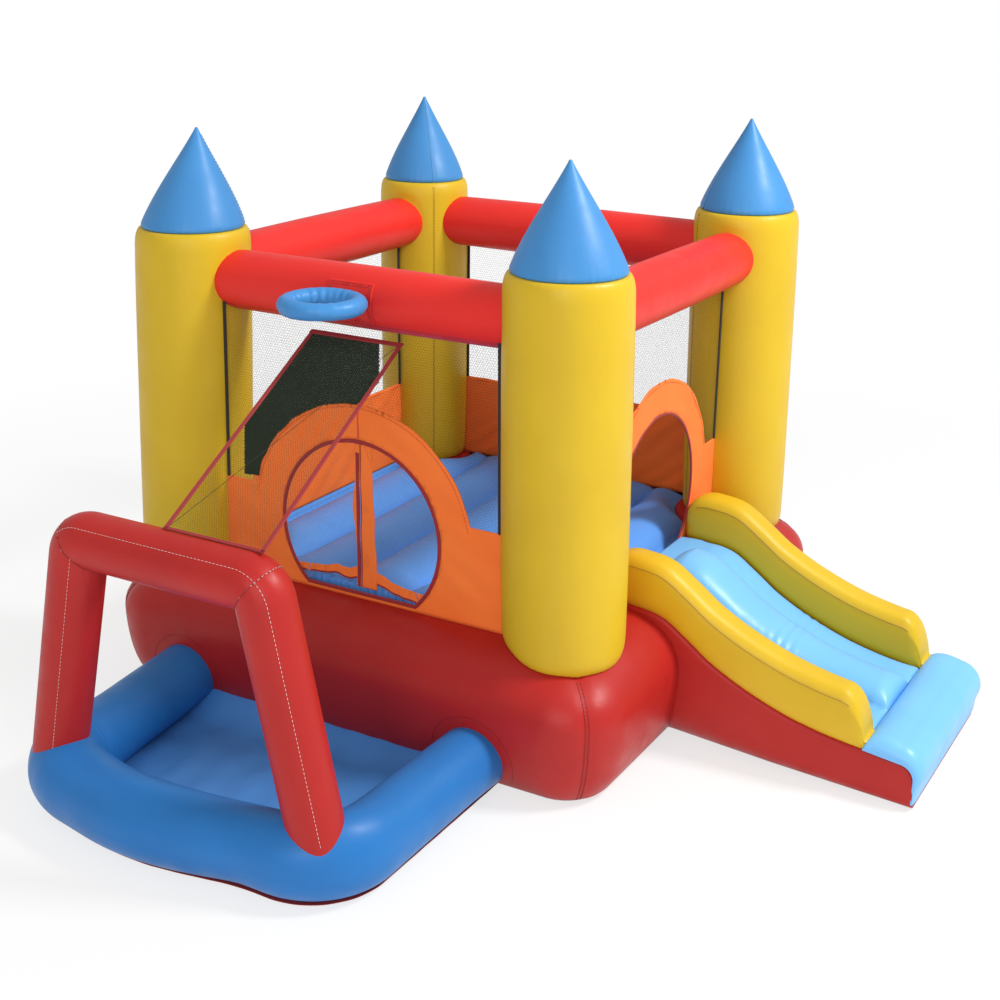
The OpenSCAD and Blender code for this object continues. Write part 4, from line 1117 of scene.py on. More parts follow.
def cut_at_fold(name, rows, sign, on_flap):
    """The part of a band on one side of the fold line: it swings with the flap, or stays on the panel."""
    mesh = skin(name, rows, wrap=False)
    cut = fold_foot - FOLD_GAP * on_flap * fold_out
    with reshaped(mesh) as work:
        bmesh.ops.bisect_plane(
            work, geom=work.verts[:] + work.edges[:] + work.faces[:], dist=1e-6,
            plane_co=(sign * cut[0], 0, cut[1]), plane_no=(sign * fold_out[0], 0, fold_out[1]),
            clear_outer=on_flap, clear_inner=not on_flap)
    return mesh


def cloth_band(name, rows, sign, body, stands_for=()):
    """A band in two pieces, cut at the fold line."""
    made = []
    for part, on_flap in ((name, True), (name + "_end", False)):
        mesh = cut_at_fold(part, rows, sign, on_flap)
        if len(mesh.polygons) < 4:
            continue
        rider, nodes = (body, stands_for) if on_flap else ("castle", ())
        obj = piece(part, mesh, orange_cloth, rider, nodes)
        thicken(obj, BAND_T)
        made.append(obj)
    return made


print("band helpers are ready")

# %% [markdown]
# ## Strips and hems of the curtain
# Along the split runs a wide orange strip on the right flap and a dark red tape with a narrow strip behind it on the
# left one. The hems below rise towards the middle. Where a band reaches beyond the fold line, that end is a piece of
# its own on the panel, so that the flap can swing.


# %% Strips and hems
def fold_line(z):
    """Distance of the fold line from the middle of the doorway, at a height."""
    return fold_foot[0] + (z - fold_foot[1]) * fold_way[0] / fold_way[1]


z = np.linspace(0.552, DOOR_Z + DOOR_R - 0.014, 64)
ripple_y = CURTAIN_Y + 0.0010 * np.sin(z * 31)
strip_edge = {
    "left": 0.018 + 0.016 * np.exp(-((z - 0.86) / 0.07) ** 2),
    "right": 0.050 + 0.020 * (1.1 - z) / 0.55 + 0.0015 * np.sin(z * 40)}
HEMS = {
    "left": dict(u=(0.016, 0.060, 0.110, 0.150, 0.290), upper=(0.632, 0.612, 0.622, 0.606, 0.592),
                 lower=(0.586, 0.570, 0.586, 0.575, 0.562)),
    "right": dict(u=(0.050, 0.090, 0.130, 0.180, 0.288), upper=(0.622, 0.620, 0.598, 0.588, 0.576),
                  lower=(0.575, 0.572, 0.556, 0.546, 0.538))}
for side_name, sign in (("left", -1), ("right", 1)):
    body = f"{side_name}_flap"
    inner = np.stack([np.full_like(z, sign * SPLIT), z], -1)
    outer = np.stack([sign * strip_edge[side_name], z], -1)
    strips = cloth_band(f"curtain_strip_{side_name}", band_rows(inner, outer, ripple_y), sign, body,
                        [f"curtain_trim_{side_name}"])
    shape = HEMS[side_name]
    u = np.linspace(shape["u"][0], shape["u"][-1], 80)
    soft = 0.0016 * np.sin(u * 2 * np.pi / 0.034) + 0.001 * np.sin(u * 2 * np.pi / 0.021)
    upper, lower = (np.interp(u, shape["u"], shape[key]) + soft for key in ("upper", "lower"))
    upper, lower = (np.convolve(np.pad(v, 5, "edge"), np.ones(11) / 11, "valid") for v in (upper, lower))
    sag = CURTAIN_Y + 0.0012 * np.sin(u * 2 * np.pi / 0.05)
    rows = band_rows(np.stack([sign * u, upper], -1), np.stack([sign * u, lower], -1), sag)
    cloth_band(f"curtain_hem_{side_name}", rows, sign, body)
    on_flap = u < fold_line((upper + lower) / 2) - 0.006
    line = xyz(sign * u, sag, lower + 0.003)
    tape_w = 0.015 if sign < 0 else 0.004
    up_z = z[z < 1.07] if sign < 0 else z
    split_line = xyz(sign * (SPLIT + tape_w / 2), CURTAIN_Y, up_z)
    edges = [tape("edge", line[on_flap], (0, 0, 1.0), 0.008, 0.0042),
             tape("edge", split_line, (1.0, 0, 0), tape_w, 0.0046)]
    piece(f"curtain_edging_{side_name}", joined("edging", edges), red_tape, body)
    still = line[u > fold_line((upper + lower) / 2) + 0.010]
    piece(f"curtain_edging_end_{side_name}", tape("edge", still, (0, 0, 1.0), 0.008, 0.0042), red_tape)
    print(side_name, "strip in", len(strips), "pieces, with its hem and edging")

# %% [markdown]
# ## Gathered edge of the floor
# At the doorway the floor's cloth is gathered into a loose ruffle behind the sill. It is a strip whose depth swings in
# folds of about 30 mm, with a free upper edge.

# %% Floor ruffle
RUFFLE_LEFT, RUFFLE_RIGHT, RUFFLE_Y, RUFFLE_LAP, RUFFLE_T = -0.275, 0.20, -0.838, 0.004, 0.0016
u = np.linspace(RUFFLE_LEFT, RUFFLE_RIGHT, 320)
ends = np.clip(np.minimum(u - RUFFLE_LEFT, RUFFLE_RIGHT - u) / 0.05, 0, 1)
fold = (gathers(u, 0.030, 70) - 0.5) * 2
crest = BASE_TOP + 0.012 + (0.036 + 0.008 * ripple(u[:, None], 0.11, 71)) * ends
up = np.linspace(0, 1, 10)
depth = RUFFLE_Y - 0.007 * fold[:, None] * (0.35 + 0.65 * up) * ends[:, None]
rows = xyz(u[:, None], depth, BASE_TOP - RUFFLE_LAP + up * (crest - BASE_TOP + RUFFLE_LAP)[:, None])
mesh = skin("floor_ruffle_cloth", rows, wrap=False)
ruffle = piece("floor_ruffle_cloth", mesh, floor_cloth)
thicken(ruffle, RUFFLE_T)
area = sum(face.area for face in mesh.polygons)
length = float(np.linalg.norm(np.diff(rows[:, 6], axis=0), axis=1).sum())
print("ruffle", round(length, 3), "m before gathering")

# %% [markdown]
# ## Hoop
# The hoop is a small inflated ring that is sewn to a square patch on the front beam. Its inner side is shorter than
# its outer side, so the cloth gathers there in folds that run round the tube.

# %% Hoop
HOOP_UNEVEN, HOOP_FOLD, PATCH_T = 0.03, 0.0045, 0.003
hoop_low, hoop_high = (np.array(v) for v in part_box("hoop_ring"))
hoop_mid = (hoop_low + hoop_high) / 2
hoop_tube = (hoop_high - hoop_low)[2] / 2
hoop_r = (hoop_high - hoop_low)[0] / 2 - hoop_tube
way, section = np.meshgrid(circle_of(192), circle_of(40), indexing="ij")
inner = np.clip(-np.cos(section), 0, 1)
folds = gathers(way * hoop_r, 0.034, 80)
radius = hoop_tube * (1 + HOOP_UNEVEN * np.sin(3 * way + 1)) - HOOP_FOLD * folds * inner ** 0.7 - 0.0012 * folds
reach = hoop_r + radius * np.cos(section)
rows = hoop_mid + xyz(reach * np.cos(way), reach * np.sin(way), radius * np.sin(section))
rows = np.concatenate([rows, rows[:1]], 0)
chamber("hoop_cloth", rows, hoop_cloth, ["hoop_ring"], body="hoop")

patch_low, patch_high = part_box("hoop_patch")
px = np.linspace(patch_low.x, patch_high.x, 40)
pt = np.linspace(*(math.asin((z - BEAM_Z) / (BEAM_R + 0.004)) for z in (patch_low.z, patch_high.z)), 32)
gx, gt = np.meshgrid(px, pt, indexing="ij")
lift = BEAM_R + 0.0045 + 0.0008 * ripple(np.stack([gx, gt * BEAM_R], -1), 0.05, 81)
rows = xyz(gx, -TOWER_HALF - lift * np.cos(gt), BEAM_Z + lift * np.sin(gt))
patch = piece("hoop_patch_cloth", skin("hoop_patch_cloth", rows, wrap=False), beam_cloth,
              stands_for=["hoop_patch"])
thicken(patch, PATCH_T)

# %% [markdown]
# ## Sloping net
# A strip of thin dark green net runs from the front net, just below the beam, down to the goal's crossbar, like a
# throwing ramp. It hangs between dark red tapes, and a thin dark line of yarn crosses it from corner to corner.

# %% Sloping net
RAMP_FOOT, RAMP_TOP = np.array([0.169, -1.8588, 1.0989]), np.array([0.005, -0.8663, 1.4970])
RAMP_W = 0.386
ramp_len = float(np.hypot(*(RAMP_TOP - RAMP_FOOT)[1:]))


def on_ramp(spots):
    """Flat points, across and up the slope from the middle, to the sloping net."""
    share = spots[:, 1] / ramp_len + 0.5
    middle = RAMP_FOOT + share[:, None] * (RAMP_TOP - RAMP_FOOT)
    middle[:, 0] += spots[:, 0]
    up = np.cross((1, 0, 0), (RAMP_TOP - RAMP_FOOT) * (0, 1, 1) / ramp_len)
    return middle + spots[:, 2:] * up


mesh = net_mesh("ramp_net_mesh", RAMP_W - 0.02, ramp_len - 0.004, ramp_and_painted_shade_yarn, 0.0092, 0.0003)
piece("ramp_net_mesh", moved(mesh, on_ramp), ramp_and_painted_shade_yarn, stands_for=["ramp_net"])
share = np.linspace(-0.5, 0.5, 40)
# A thin dark line of yarn across the net from corner to corner.
fold = tape("ramp_fold_yarn", on_ramp(xyz(share * (RAMP_W - 0.02), share * ramp_len, 0)), (1.0, 0, 0), 0.002, 0.0012)
piece("ramp_fold_yarn", fold, ramp_and_painted_shade_yarn)
v = np.linspace(-ramp_len / 2, ramp_len / 2, 40)
strips = [tape("strip", on_ramp(xyz(sign * (RAMP_W / 2 - 0.008), v, 0)), (1.0, 0, 0), 0.016, 0.005)
          for sign in (-1, 1)]
u = np.linspace(-RAMP_W / 2, RAMP_W / 2, 20)
for v, width, thick in ((ramp_len / 2 - 0.010, 0.022, 0.006), (-ramp_len / 2 + 0.006, 0.012, 0.005)):
    strips.append(tape("strip", on_ramp(xyz(u, v, 0)), RAMP_TOP - RAMP_FOOT, width, thick))
webbing = joined("ramp_webbing_tape", strips)
piece("ramp_webbing_tape", webbing, red_tape, stands_for=["ramp_webbing"])
print("sloping net", len(mesh.polygons), "faces, length", round(ramp_len, 3))

# %% [markdown]
# ## Slide
# The slide is one long red chamber with an S-curved top. On it lie a light blue lane with a raised middle tube, two
# yellow rails and a bolster across the toe. All of them follow the same curve of heights along the slide.

# %% Curve of the slide
SLIDE_X0, SLIDE_X1, TOE_X, SLIDE_HALF = 0.7823, 1.7853, 1.9793, 0.430
SLIDE_TOP, SLIDE_FOOT, TOE_Z = 0.530, 0.190, 0.165
RAIL_W, RAIL_H, RAIL_NOSE = 0.140, 0.190, 0.09
TOE_ROUND, TOE_IN, BASE_EDGE = 0.06, 0.006, 0.2
SHAPE_X = np.array([0, 0.105, 0.225, 0.325, 0.425, 0.58, 0.77, 1])
SHAPE_Y = np.array([0, 0.02, 0.08, 0.268, 0.48, 0.71, 0.9, 1])


def smooth_curve(x):
    slopes = np.zeros(len(SHAPE_X))
    slopes[1:-1] = (SHAPE_Y[2:] - SHAPE_Y[:-2]) / (SHAPE_X[2:] - SHAPE_X[:-2])
    i = np.clip(np.searchsorted(SHAPE_X, x) - 1, 0, len(SHAPE_X) - 2)
    w = SHAPE_X[i + 1] - SHAPE_X[i]
    t = (x - SHAPE_X[i]) / w
    ease = t * t * (3 - 2 * t)
    return SHAPE_Y[i] * (1 - ease) + SHAPE_Y[i + 1] * ease + w * t * (1 - t) * (
        (1 - t) * slopes[i] - t * slopes[i + 1])


def slide_z(x):
    """Height of the red body along the slide."""
    share = np.clip((x - SLIDE_X0) / (SLIDE_X1 - SLIDE_X0), 0, 1)
    slope = SLIDE_TOP - (SLIDE_TOP - SLIDE_FOOT) * smooth_curve(share)
    over = np.clip(x - (BASE_HALF - BASE_EDGE), 0, BASE_EDGE)
    roll_top = BASE_TOP - BASE_EDGE + np.sqrt(BASE_EDGE ** 2 - over ** 2) + 0.007
    roll_top = np.where(x < BASE_HALF, roll_top, 0)
    toe = SLIDE_FOOT + (TOE_Z - SLIDE_FOOT) * (x - SLIDE_X1) / (TOE_X - SLIDE_X1)
    return np.where(x > SLIDE_X1, toe, np.maximum(slope, roll_top))


print("slide heights:", slide_z(np.array([0.8, 1.2, 1.6, 1.9])).round(3).tolist())


# %% Slide body
def pillow_section(half_w, low, high, turn, power):
    """Rounded box of a section: half width, lower and upper height."""
    c, s = np.cos(turn), np.sin(turn)
    y = half_w * np.sign(c) * np.abs(c) ** power
    z = (low + high) / 2 + (high - low) / 2 * np.sign(s) * np.abs(s) ** power
    return y, z


def box_section(half_w, top, low_round, top_round):
    """Half of a box with rounded corners on the ground, then its mirror image."""
    low = arc((half_w - low_round, low_round), low_round, -90, 0, 20)
    high = arc((half_w - top_round, top - top_round), top_round, 0, 90, 10)
    floor_line = np.linspace((0, 0), low[0], 14)[:-1]
    side_line = np.linspace(low[-1], high[0], 16)[1:-1]
    top_line = np.linspace(high[-1], (0, top), 14)[1:]
    half = np.concatenate([floor_line, low, side_line, high, top_line])
    return np.concatenate([half, half[1:-1][::-1] * (-1, 1)])


body_end = TOE_X - TOE_IN
x = np.concatenate([
    np.linspace(SLIDE_X0, body_end - TOE_ROUND, 110),
    body_end - TOE_ROUND * (1 - np.sin(np.linspace(0, np.pi / 2, 14)[1:]))])
tops = slide_z(x) - 0.002 - round_in(body_end - x, TOE_ROUND, TOE_ROUND)
low_rounds = np.minimum(np.interp(x, (1.05, 1.45, TOE_X), (0.17, 0.10, 0.03)), 0.6 * tops)
rows = []
for xi, top, low_round in zip(x, tops, low_rounds):
    y, z = box_section(SLIDE_HALF - 0.006, top, low_round, 0.02).T
    y = y * (1 + 0.02 * (1 - (2 * z / top - 1) ** 2))
    rows.append(xyz(xi, y, np.maximum(z, 0.001)))
mesh = chamber("slide_body_cloth", closed(rows), red_cloth, ["slide_body"])
print("slide body", len(mesh.polygons), "faces")

# %% Slide lane
LANE_HALF, STRIP_H, TUBE_HALF, TUBE_H = SLIDE_HALF - RAIL_W - SEAM, 0.025, 0.13, 0.058
TUBE_START, TUBE_END, STRIP_SINK = SLIDE_X0 + 0.09, SLIDE_X1 + 0.004, 0.45
lx = np.linspace(SLIDE_X0, SLIDE_X1, 170)
ly = np.linspace(-LANE_HALF, LANE_HALF, 97)
gx, gy = np.meshgrid(lx, ly, indexing="ij")
strip_mid = (TUBE_HALF + LANE_HALF) / 2
strip_share = np.clip(np.abs(np.abs(gy) - strip_mid) / ((LANE_HALF - TUBE_HALF) / 2), 0, 1)
down = (gx - SLIDE_X0) / (SLIDE_X1 - SLIDE_X0)
tube_gap = np.clip(np.minimum(gx - TUBE_START, TUBE_END - gx), 0, None)
taper = np.sqrt(1 - (1 - np.clip(tube_gap / 0.07, 0, 1)) ** 2)
tube_share = np.clip(np.abs(gy) / TUBE_HALF, 0, 1)
beside = np.where(np.abs(gy) > TUBE_HALF, strip_share, 1)
plain = STRIP_H * (1 - STRIP_SINK * beside ** 3 * np.clip(taper + 0.15, 0, 1))
tube = (STRIP_H * STRIP_SINK + TUBE_H) * np.sqrt(1 - tube_share ** 2) * taper
rise = (plain + tube) * (0.4 + 0.6 * np.clip(down / 0.16, 0, 1))
side_seam = np.abs(np.abs(gy) - TUBE_HALF)
rise -= 0.004 * np.exp(-side_seam / 0.012) * gathers(gx, 0.045, 90) * taper
mid_folds = np.exp(-((down - 0.57) / 0.05) ** 2)
rise += 0.0016 * mid_folds * np.sin(2 * np.pi * gx / 0.035 + 3 * gy)
rise -= round_in(LANE_HALF - np.abs(gy), 0.03, 0.012) + round_in(SLIDE_X1 - gx, 0.03, 0.012)
top, under = xyz(gx, gy, slide_z(gx) + SEAM + rise), xyz(gx, gy, slide_z(gx) + SEAM)
rows = closed(np.concatenate([top, under[:, ::-1]], 1))
mesh = chamber("slide_lane_cloth", rows, lane_cloth, ["slide_lane"])
print("slide lane", len(mesh.polygons), "faces")


# %% Slide rails
def rail_rise(x):
    start = np.clip((x - SLIDE_X0) / 0.12, 0, 1)
    nose = np.clip((x - (SLIDE_X1 - RAIL_NOSE)) / RAIL_NOSE, 0, 1)
    return RAIL_H * (1 - 0.24 * (1 - start) ** 2) * np.maximum(0.16, np.sqrt(1 - nose ** 2))


RAIL_LAP, RAIL_POWER, RAIL_FULL = 0.02, 0.62, 0.05
turn = circle_of(72) + 0.02
rail_end = SLIDE_X1 + 0.012
x = SLIDE_X0 + (rail_end - SLIDE_X0) * (1 - (1 - np.linspace(0, 1, 120)[:, None]) ** 1.4)
start_in, nose_in = round_in(x - SLIDE_X0, 0.06, 0.028), round_in(rail_end - x, 0.07, 0.03)
low, high = slide_z(x) - RAIL_LAP, slide_z(x) + rail_rise(x)
y, z = pillow_section(RAIL_W / 2 - start_in - nose_in, low, high - start_in, turn, RAIL_POWER)
full = 1 - ((z - low) / (high - low) * 2 - 1) ** 2
y = y * (1 + RAIL_FULL * full) - 0.002 * np.exp(-(SLIDE_X1 - x) / 0.05) * np.sin(turn * 11) * np.sign(y)
for name, sign in (("near", -1), ("far", 1)):
    rows = closed(xyz(x, sign * (SLIDE_HALF - RAIL_W / 2) + y, z))
    mesh = chamber(f"slide_rail_{name}_cloth", rows, yellow_cloth, [f"slide_rail_{name}"])
print("two rails of", len(mesh.polygons), "faces")

# %% Slide bolster
BOLSTER_H, BOLSTER_RISE, BOLSTER_HALF = 0.056, 0.085, SLIDE_HALF + 0.002
bend_x = body_end - TOE_ROUND
flat = np.linspace((SLIDE_X1, SLIDE_FOOT), (bend_x, float(slide_z(np.array(bend_x)))), 24)
turn = np.linspace(np.pi / 2, 0, 18)[1:]
bend_mid = flat[-1] - (0, TOE_ROUND)
bend_way = np.stack([np.cos(turn), np.sin(turn)], -1)
face = np.linspace(bend_mid + (TOE_ROUND, 0), (body_end, 0.026), 14)[1:]
line = np.concatenate([flat, bend_mid + TOE_ROUND * bend_way, face])
outward = np.concatenate([np.tile((0, 1.0), (len(flat), 1)), bend_way, np.tile((1.0, 0), (len(face), 1))])
length = np.append(0, np.linalg.norm(np.diff(line, axis=0), axis=1).cumsum())
start = np.clip(length / BOLSTER_RISE, 0, 1)
fall = np.clip((length - BOLSTER_RISE) / (length[-1] - BOLSTER_RISE), 0, 1)
thick = np.where(length < BOLSTER_RISE, BOLSTER_H * np.sqrt(start * (2 - start)),
                 0.006 + (BOLSTER_H - 0.006) * (0.5 + 0.5 * np.cos(np.pi * fall)))
across = BOLSTER_HALF * np.sin(np.linspace(-np.pi / 2, np.pi / 2, 90))[:, None]
shrink = 1 - round_in(BOLSTER_HALF - np.abs(across), 0.06, 1.0)
crease = 1 - 0.04 * gathers(across, 0.06, 95) * np.exp(-length / 0.02)
upper = line + outward * (0.001 + thick * shrink * crease)[..., None]
under = np.broadcast_to((line - 0.004 * outward)[::-1], upper.shape)
ring = np.concatenate([upper, under], 1)
rows = xyz(ring[..., 0], across, ring[..., 1])
for row in (rows[0], rows[-1]):
    row[:] = (row + row[::-1]) / 2
mesh = chamber("slide_bolster_cloth", rows, lane_cloth, ["slide_bolster"])
print("bolster of", len(mesh.polygons), "faces")

# %% [markdown]
# ## Ball pit
# One blue tube runs from the base round the pit and back. It is swept along its path; the inside of each bend is
# shorter, so it gathers there. A sheet closes the pit's floor and a dark red hem runs along the outside.

# %% Pit tube
PIT_HALF, PIT_R, BEND_R, BEND_X, BEND_Y, PIT_START = 0.605, 0.122, 0.190, 0.415, -1.715, -0.985
PIT_BOW, PIT_SWELL, PIT_SPREAD, BOW_X, PIT_MID_Y = 0.055, 0.010, 0.105, -0.1, -1.3
CORNER_SWELL, CORNER_RISE, CORNER_SPAN, BEND_FOLD = 0.012, 0.26, 0.2, 0.006
straight = [(PIT_HALF, y) for y in np.linspace(PIT_START, BEND_Y, 50)[:-1]]
front = [(x, BEND_Y - BEND_R) for x in np.linspace(BEND_X, 0, 40)[1:]]
right_side = np.concatenate([straight, arc((BEND_X, BEND_Y), BEND_R, 0, -90, 30), front])
path = np.concatenate([right_side, right_side[:-1][::-1] * (-1, 1)])


def front_bow(x, y):
    """Share of the front's bow at a point: full a little left of the middle, none at the right bend."""
    return np.cos(np.pi / 2 * np.clip((x - BOW_X) / BEND_X, -1, 1)) ** 1.5 * np.clip((PIT_MID_Y - y) / 0.5, 0, 1)


def bowed(points):
    """The pit's plan under air: the front bows out, and the left arm spreads towards the base."""
    x, y = points[:, 0], points[:, 1]
    along = np.clip((y - BEND_Y) / (PIT_START - BEND_Y), 0, 1) - 0.2
    spread = PIT_SPREAD * np.clip(-x / PIT_HALF, 0, 1) * along
    return np.stack([x - spread, y - PIT_BOW * front_bow(x, y)], -1)


swell = PIT_SWELL * front_bow(path[:, 0], path[:, 1])
path = bowed(path)
step = np.gradient(path, axis=0)
step /= np.linalg.norm(step, axis=1)[:, None]
out_way = np.stack([-step[:, 1], step[:, 0]], -1)
out_way *= np.sign((out_way * (path - (0, PIT_MID_Y))).sum(1))[:, None]
length = np.append(0, np.linalg.norm(np.diff(path, axis=0), axis=1).cumsum())
corner_x, corner_y = BEND_X + BEND_R * math.sqrt(0.5), BEND_Y - BEND_R * math.sqrt(0.5)
from_corner = np.hypot(np.abs(path[:, 0]) - corner_x, path[:, 1] - corner_y)
bend_share = np.exp(-(from_corner / 0.12) ** 2)
at_corner = np.exp(-(from_corner / CORNER_SPAN) ** 2)
swell += CORNER_SWELL * at_corner * (path[:, 0] < 0)
section = circle_of(96)
inner = np.clip(-np.cos(section), 0, 1)
folds = gathers(length, 0.038, 100)[:, None]
on_cloth = np.stack(np.broadcast_arrays(length[:, None], PIT_R * section), -1)
radius = PIT_R + swell[:, None] + 0.0015 * ripple(on_cloth, 0.4, 101)
radius = radius - BEND_FOLD * folds * inner * bend_share[:, None]
flat = radius * np.cos(section)
tall = 1 + CORNER_RISE * at_corner[:, None] * (np.sin(section) > 0)
rows = xyz(path[:, :1] + out_way[:, :1] * flat, path[:, 1:] + out_way[:, 1:] * flat,
           np.maximum(PIT_R + radius * np.sin(section) * tall, 0.002))
mesh = chamber("pit_tube_cloth", closed(rows), pit_cloth, ["pit_arm_left", "pit_arm_right", "pit_front"])
print("pit tube", len(mesh.polygons), "faces, length", round(float(length[-1]), 3), "m")

# %% Pit floor
pit_floor_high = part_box("pit_floor")[1]
FLOOR_IN, PIT_FLOOR_T = PIT_HALF - pit_floor_high.x, 0.002
back_y = pit_floor_high.y


def pit_outline(offset, back):
    right = np.concatenate([[(PIT_HALF + offset, back)], arc((BEND_X, BEND_Y), BEND_R + offset, 0, -90, 24)])
    return np.concatenate([right, right[::-1] * (-1, 1)])


def in_pit(offset, back):
    def keep(x, y):
        x = np.abs(x)
        near_bend = (x > BEND_X) & (y < BEND_Y)
        box_part = (x < PIT_HALF + offset) & (y < back) & (y > BEND_Y - BEND_R - offset)
        return box_part & (~near_bend | (np.hypot(x - BEND_X, y - BEND_Y) < BEND_R + offset))
    return keep


spots, faces = filled([pit_outline(-FLOOR_IN, back_y)], in_pit(-FLOOR_IN, back_y), 0.02)


def lay(spots):
    wave = 0.003 + 0.003 * np.clip(ripple(spots, 0.16, 110), -0.6, 1.2)
    flat = bowed(spots)
    rise = 0.08 * np.clip((spots[:, 1] + 1.2) / 0.16, 0, 1) ** 2
    return xyz(flat[:, 0], flat[:, 1], wave + rise)


mesh = cloth_sheet("pit_floor_cloth", spots, faces, lay)
pit_floor = piece("pit_floor_cloth", mesh, pit_floor_cloth, stands_for=["pit_floor"])
thicken(pit_floor, PIT_FLOOR_T)
size = spots.max(0) - spots.min(0)
print("pit floor", [round(float(v), 3) for v in size])

# %% Pit hem
HEM_W, HEM_STEP = 0.06, 0.02
hem_path = pit_outline(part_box("pit_hem")[1].x - PIT_HALF - HEM_W / 2, -1.0)
dense = []
for p, q in zip(hem_path[:-1], hem_path[1:]):
    steps = max(1, int(np.hypot(*(q - p)) / HEM_STEP))
    dense += [p + (q - p) * i / steps for i in range(steps)]
dense = bowed(np.array(dense + [hem_path[-1]]))
along = np.gradient(dense, axis=0)
along /= np.linalg.norm(along, axis=1)[:, None]
line = xyz(dense[:, 0], dense[:, 1], 0.0022 + 0.0012 * gathers(np.arange(len(dense)) * HEM_STEP, 0.11, 111))
hem = tape("pit_hem_tape", line, xyz(along[:, 1], -along[:, 0], 0), HEM_W, 0.003)
piece("pit_hem_tape", hem, red_tape, stands_for=["pit_hem"])
print("pit hem of", len(dense), "points")

# %% [markdown]
# ## Goal
# Two legs lean in from the pit tube and carry a crossbar. The tubes meet at mitred seams. Air rounds the outside of
# such a corner, while its inside stays sharp, so the arc's radius falls off towards the inside of each tube.

# %% Goal
GOAL_R, GOAL_Y, ELBOW = 0.092, -1.872, 0.085
LEG_FOOT, LEG_TOP = np.array([0.560, GOAL_Y, 0.100]), np.array([0.360, GOAL_Y, 1.005])
leg_way = (LEG_TOP - LEG_FOOT) / np.linalg.norm(LEG_TOP - LEG_FOOT)
leg_len = float(np.linalg.norm(LEG_TOP - LEG_FOOT))
bar_way = np.array([-1.0, 0, 0])
mitre = (leg_way + bar_way) / np.linalg.norm(leg_way + bar_way)
bisector = (leg_way - bar_way) / np.linalg.norm(leg_way - bar_way)
section = circle_of(96)


def rounded_corner(points, way):
    """Points of a tube that runs along way: beyond the tangents they go on an arc about a centre on the bisector."""
    lean = -bisector @ way
    normal = (bisector + lean * way) / math.sqrt(1 - lean ** 2)
    out, along = (points - LEG_TOP) @ normal, (points - LEG_TOP) @ way
    depth = ELBOW * np.clip(1 + np.minimum(out, 0) / GOAL_R, 0, 1)
    reach = out + depth * math.sqrt(1 - lean ** 2)
    centre = LEG_TOP - depth[..., None] * bisector
    spoke = (points - centre) * (1, 0, 1)
    bent = centre + spoke * (reach / np.linalg.norm(spoke, axis=-1))[..., None]
    bent[..., 1] = points[..., 1]
    return np.where(((along < depth * lean) & (reach > 0))[..., None], bent, points)


def goal_rows(way, far_share, seed):
    """Rows of one tube from the mitre to its far end: far_share is its length along the axis."""
    side_way = np.cross(way, (0, 1.0, 0))
    ring = GOAL_R * (np.cos(section)[:, None] * side_way + np.sin(section)[:, None] * np.array([0, 1.0, 0]))
    start = -(ring @ mitre) / (way @ mitre)
    share = 1 - np.cos(np.linspace(0, np.pi / 2, 56))
    t = start + share[:, None] * (far_share - start)
    fold = gathers(section * GOAL_R, 0.03, seed) * np.exp(-np.abs(t - start) / 0.022)
    rows = LEG_TOP + ring * (1 - 0.022 * fold[..., None]) + t[..., None] * way
    return rounded_corner(rows, way)


leg_rows = goal_rows(-leg_way, leg_len, 120)
for name, sign in (("right", 1), ("left", -1)):
    rows = closed(leg_rows) * (sign, 1, 1)
    chamber(f"goal_leg_{name}_cloth", rows, red_cloth, [f"goal_leg_{name}"])
half_bar = goal_rows(bar_way, LEG_TOP[0], 121)
rows = np.concatenate([half_bar, half_bar[:-1][::-1] * (-1, 1, 1)], 0)
mesh = chamber("goal_crossbar_cloth", closed(rows), red_cloth, ["goal_crossbar"])
print("goal of", len(mesh.polygons), "faces in its crossbar")

# %% [markdown]
# ## Fittings at the back
# The blower's nozzle goes into a limp sleeve, tied by a strap; a zip lets the air out; webbing tabs with eyelets take
# the ground stakes. The sleeve is a skin that goes out along its outside and back along its bore.

# %% Air inlet
BORE_R, STRAP_T, TAIL_LEN = 0.0505, 0.003, 0.07
inlet_low, inlet_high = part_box("air_inlet")
inlet_x, inlet_z = (inlet_low.x + inlet_high.x) / 2, (inlet_low.z + inlet_high.z) / 2
inlet_r = (inlet_high.x - inlet_low.x) / 2
strap_low, strap_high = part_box("inlet_strap")
strap_y = (strap_low.y + strap_high.y) / 2
section = circle_of(96)
y = np.linspace(inlet_low.y - 0.004, inlet_high.y, 60)
neck = np.exp(-((y - strap_y) / 0.018) ** 2)[:, None]
fold = gathers(section * inlet_r, 0.03, 130)
flare = np.exp(-(y - inlet_low.y) / 0.02)[:, None]
outer = inlet_r + 0.004 * fold * (1 - neck) + 0.010 * flare - 0.001 * neck
bore = BORE_R + 0.0012 * fold * (1 - neck)
rows = [xyz(inlet_x + r * np.cos(section), yi, inlet_z + r * np.sin(section))
        for yi, r in zip(np.append(y, y[::-1]), np.concatenate([outer, bore[::-1]]))]
rows = np.concatenate([rows, rows[:1]], 0)
piece("air_inlet_cloth", skin("air_inlet_cloth", rows), red_cloth, stands_for=["air_inlet"])
strap_r = (strap_high.x - strap_low.x) / 2 - STRAP_T / 2
path = xyz(inlet_x + strap_r * np.cos(section), strap_y, inlet_z + strap_r * np.sin(section))
strap = tape("ring", path, (0, 1.0, 0), strap_high.y - strap_low.y, STRAP_T, ring=True)
hang = np.linspace(0, 1, 14)
tail = xyz(inlet_x + 0.006, strap_y + 0.01 * hang, inlet_z - strap_r - TAIL_LEN * hang)
strap = joined("inlet_strap_tape", [strap, tape("tail", tail, (0, 1.0, 0), 0.02, 0.0025)])
piece("inlet_strap_tape", strap, black_tape, stands_for=["inlet_strap"])
print("inlet sleeve and strap")

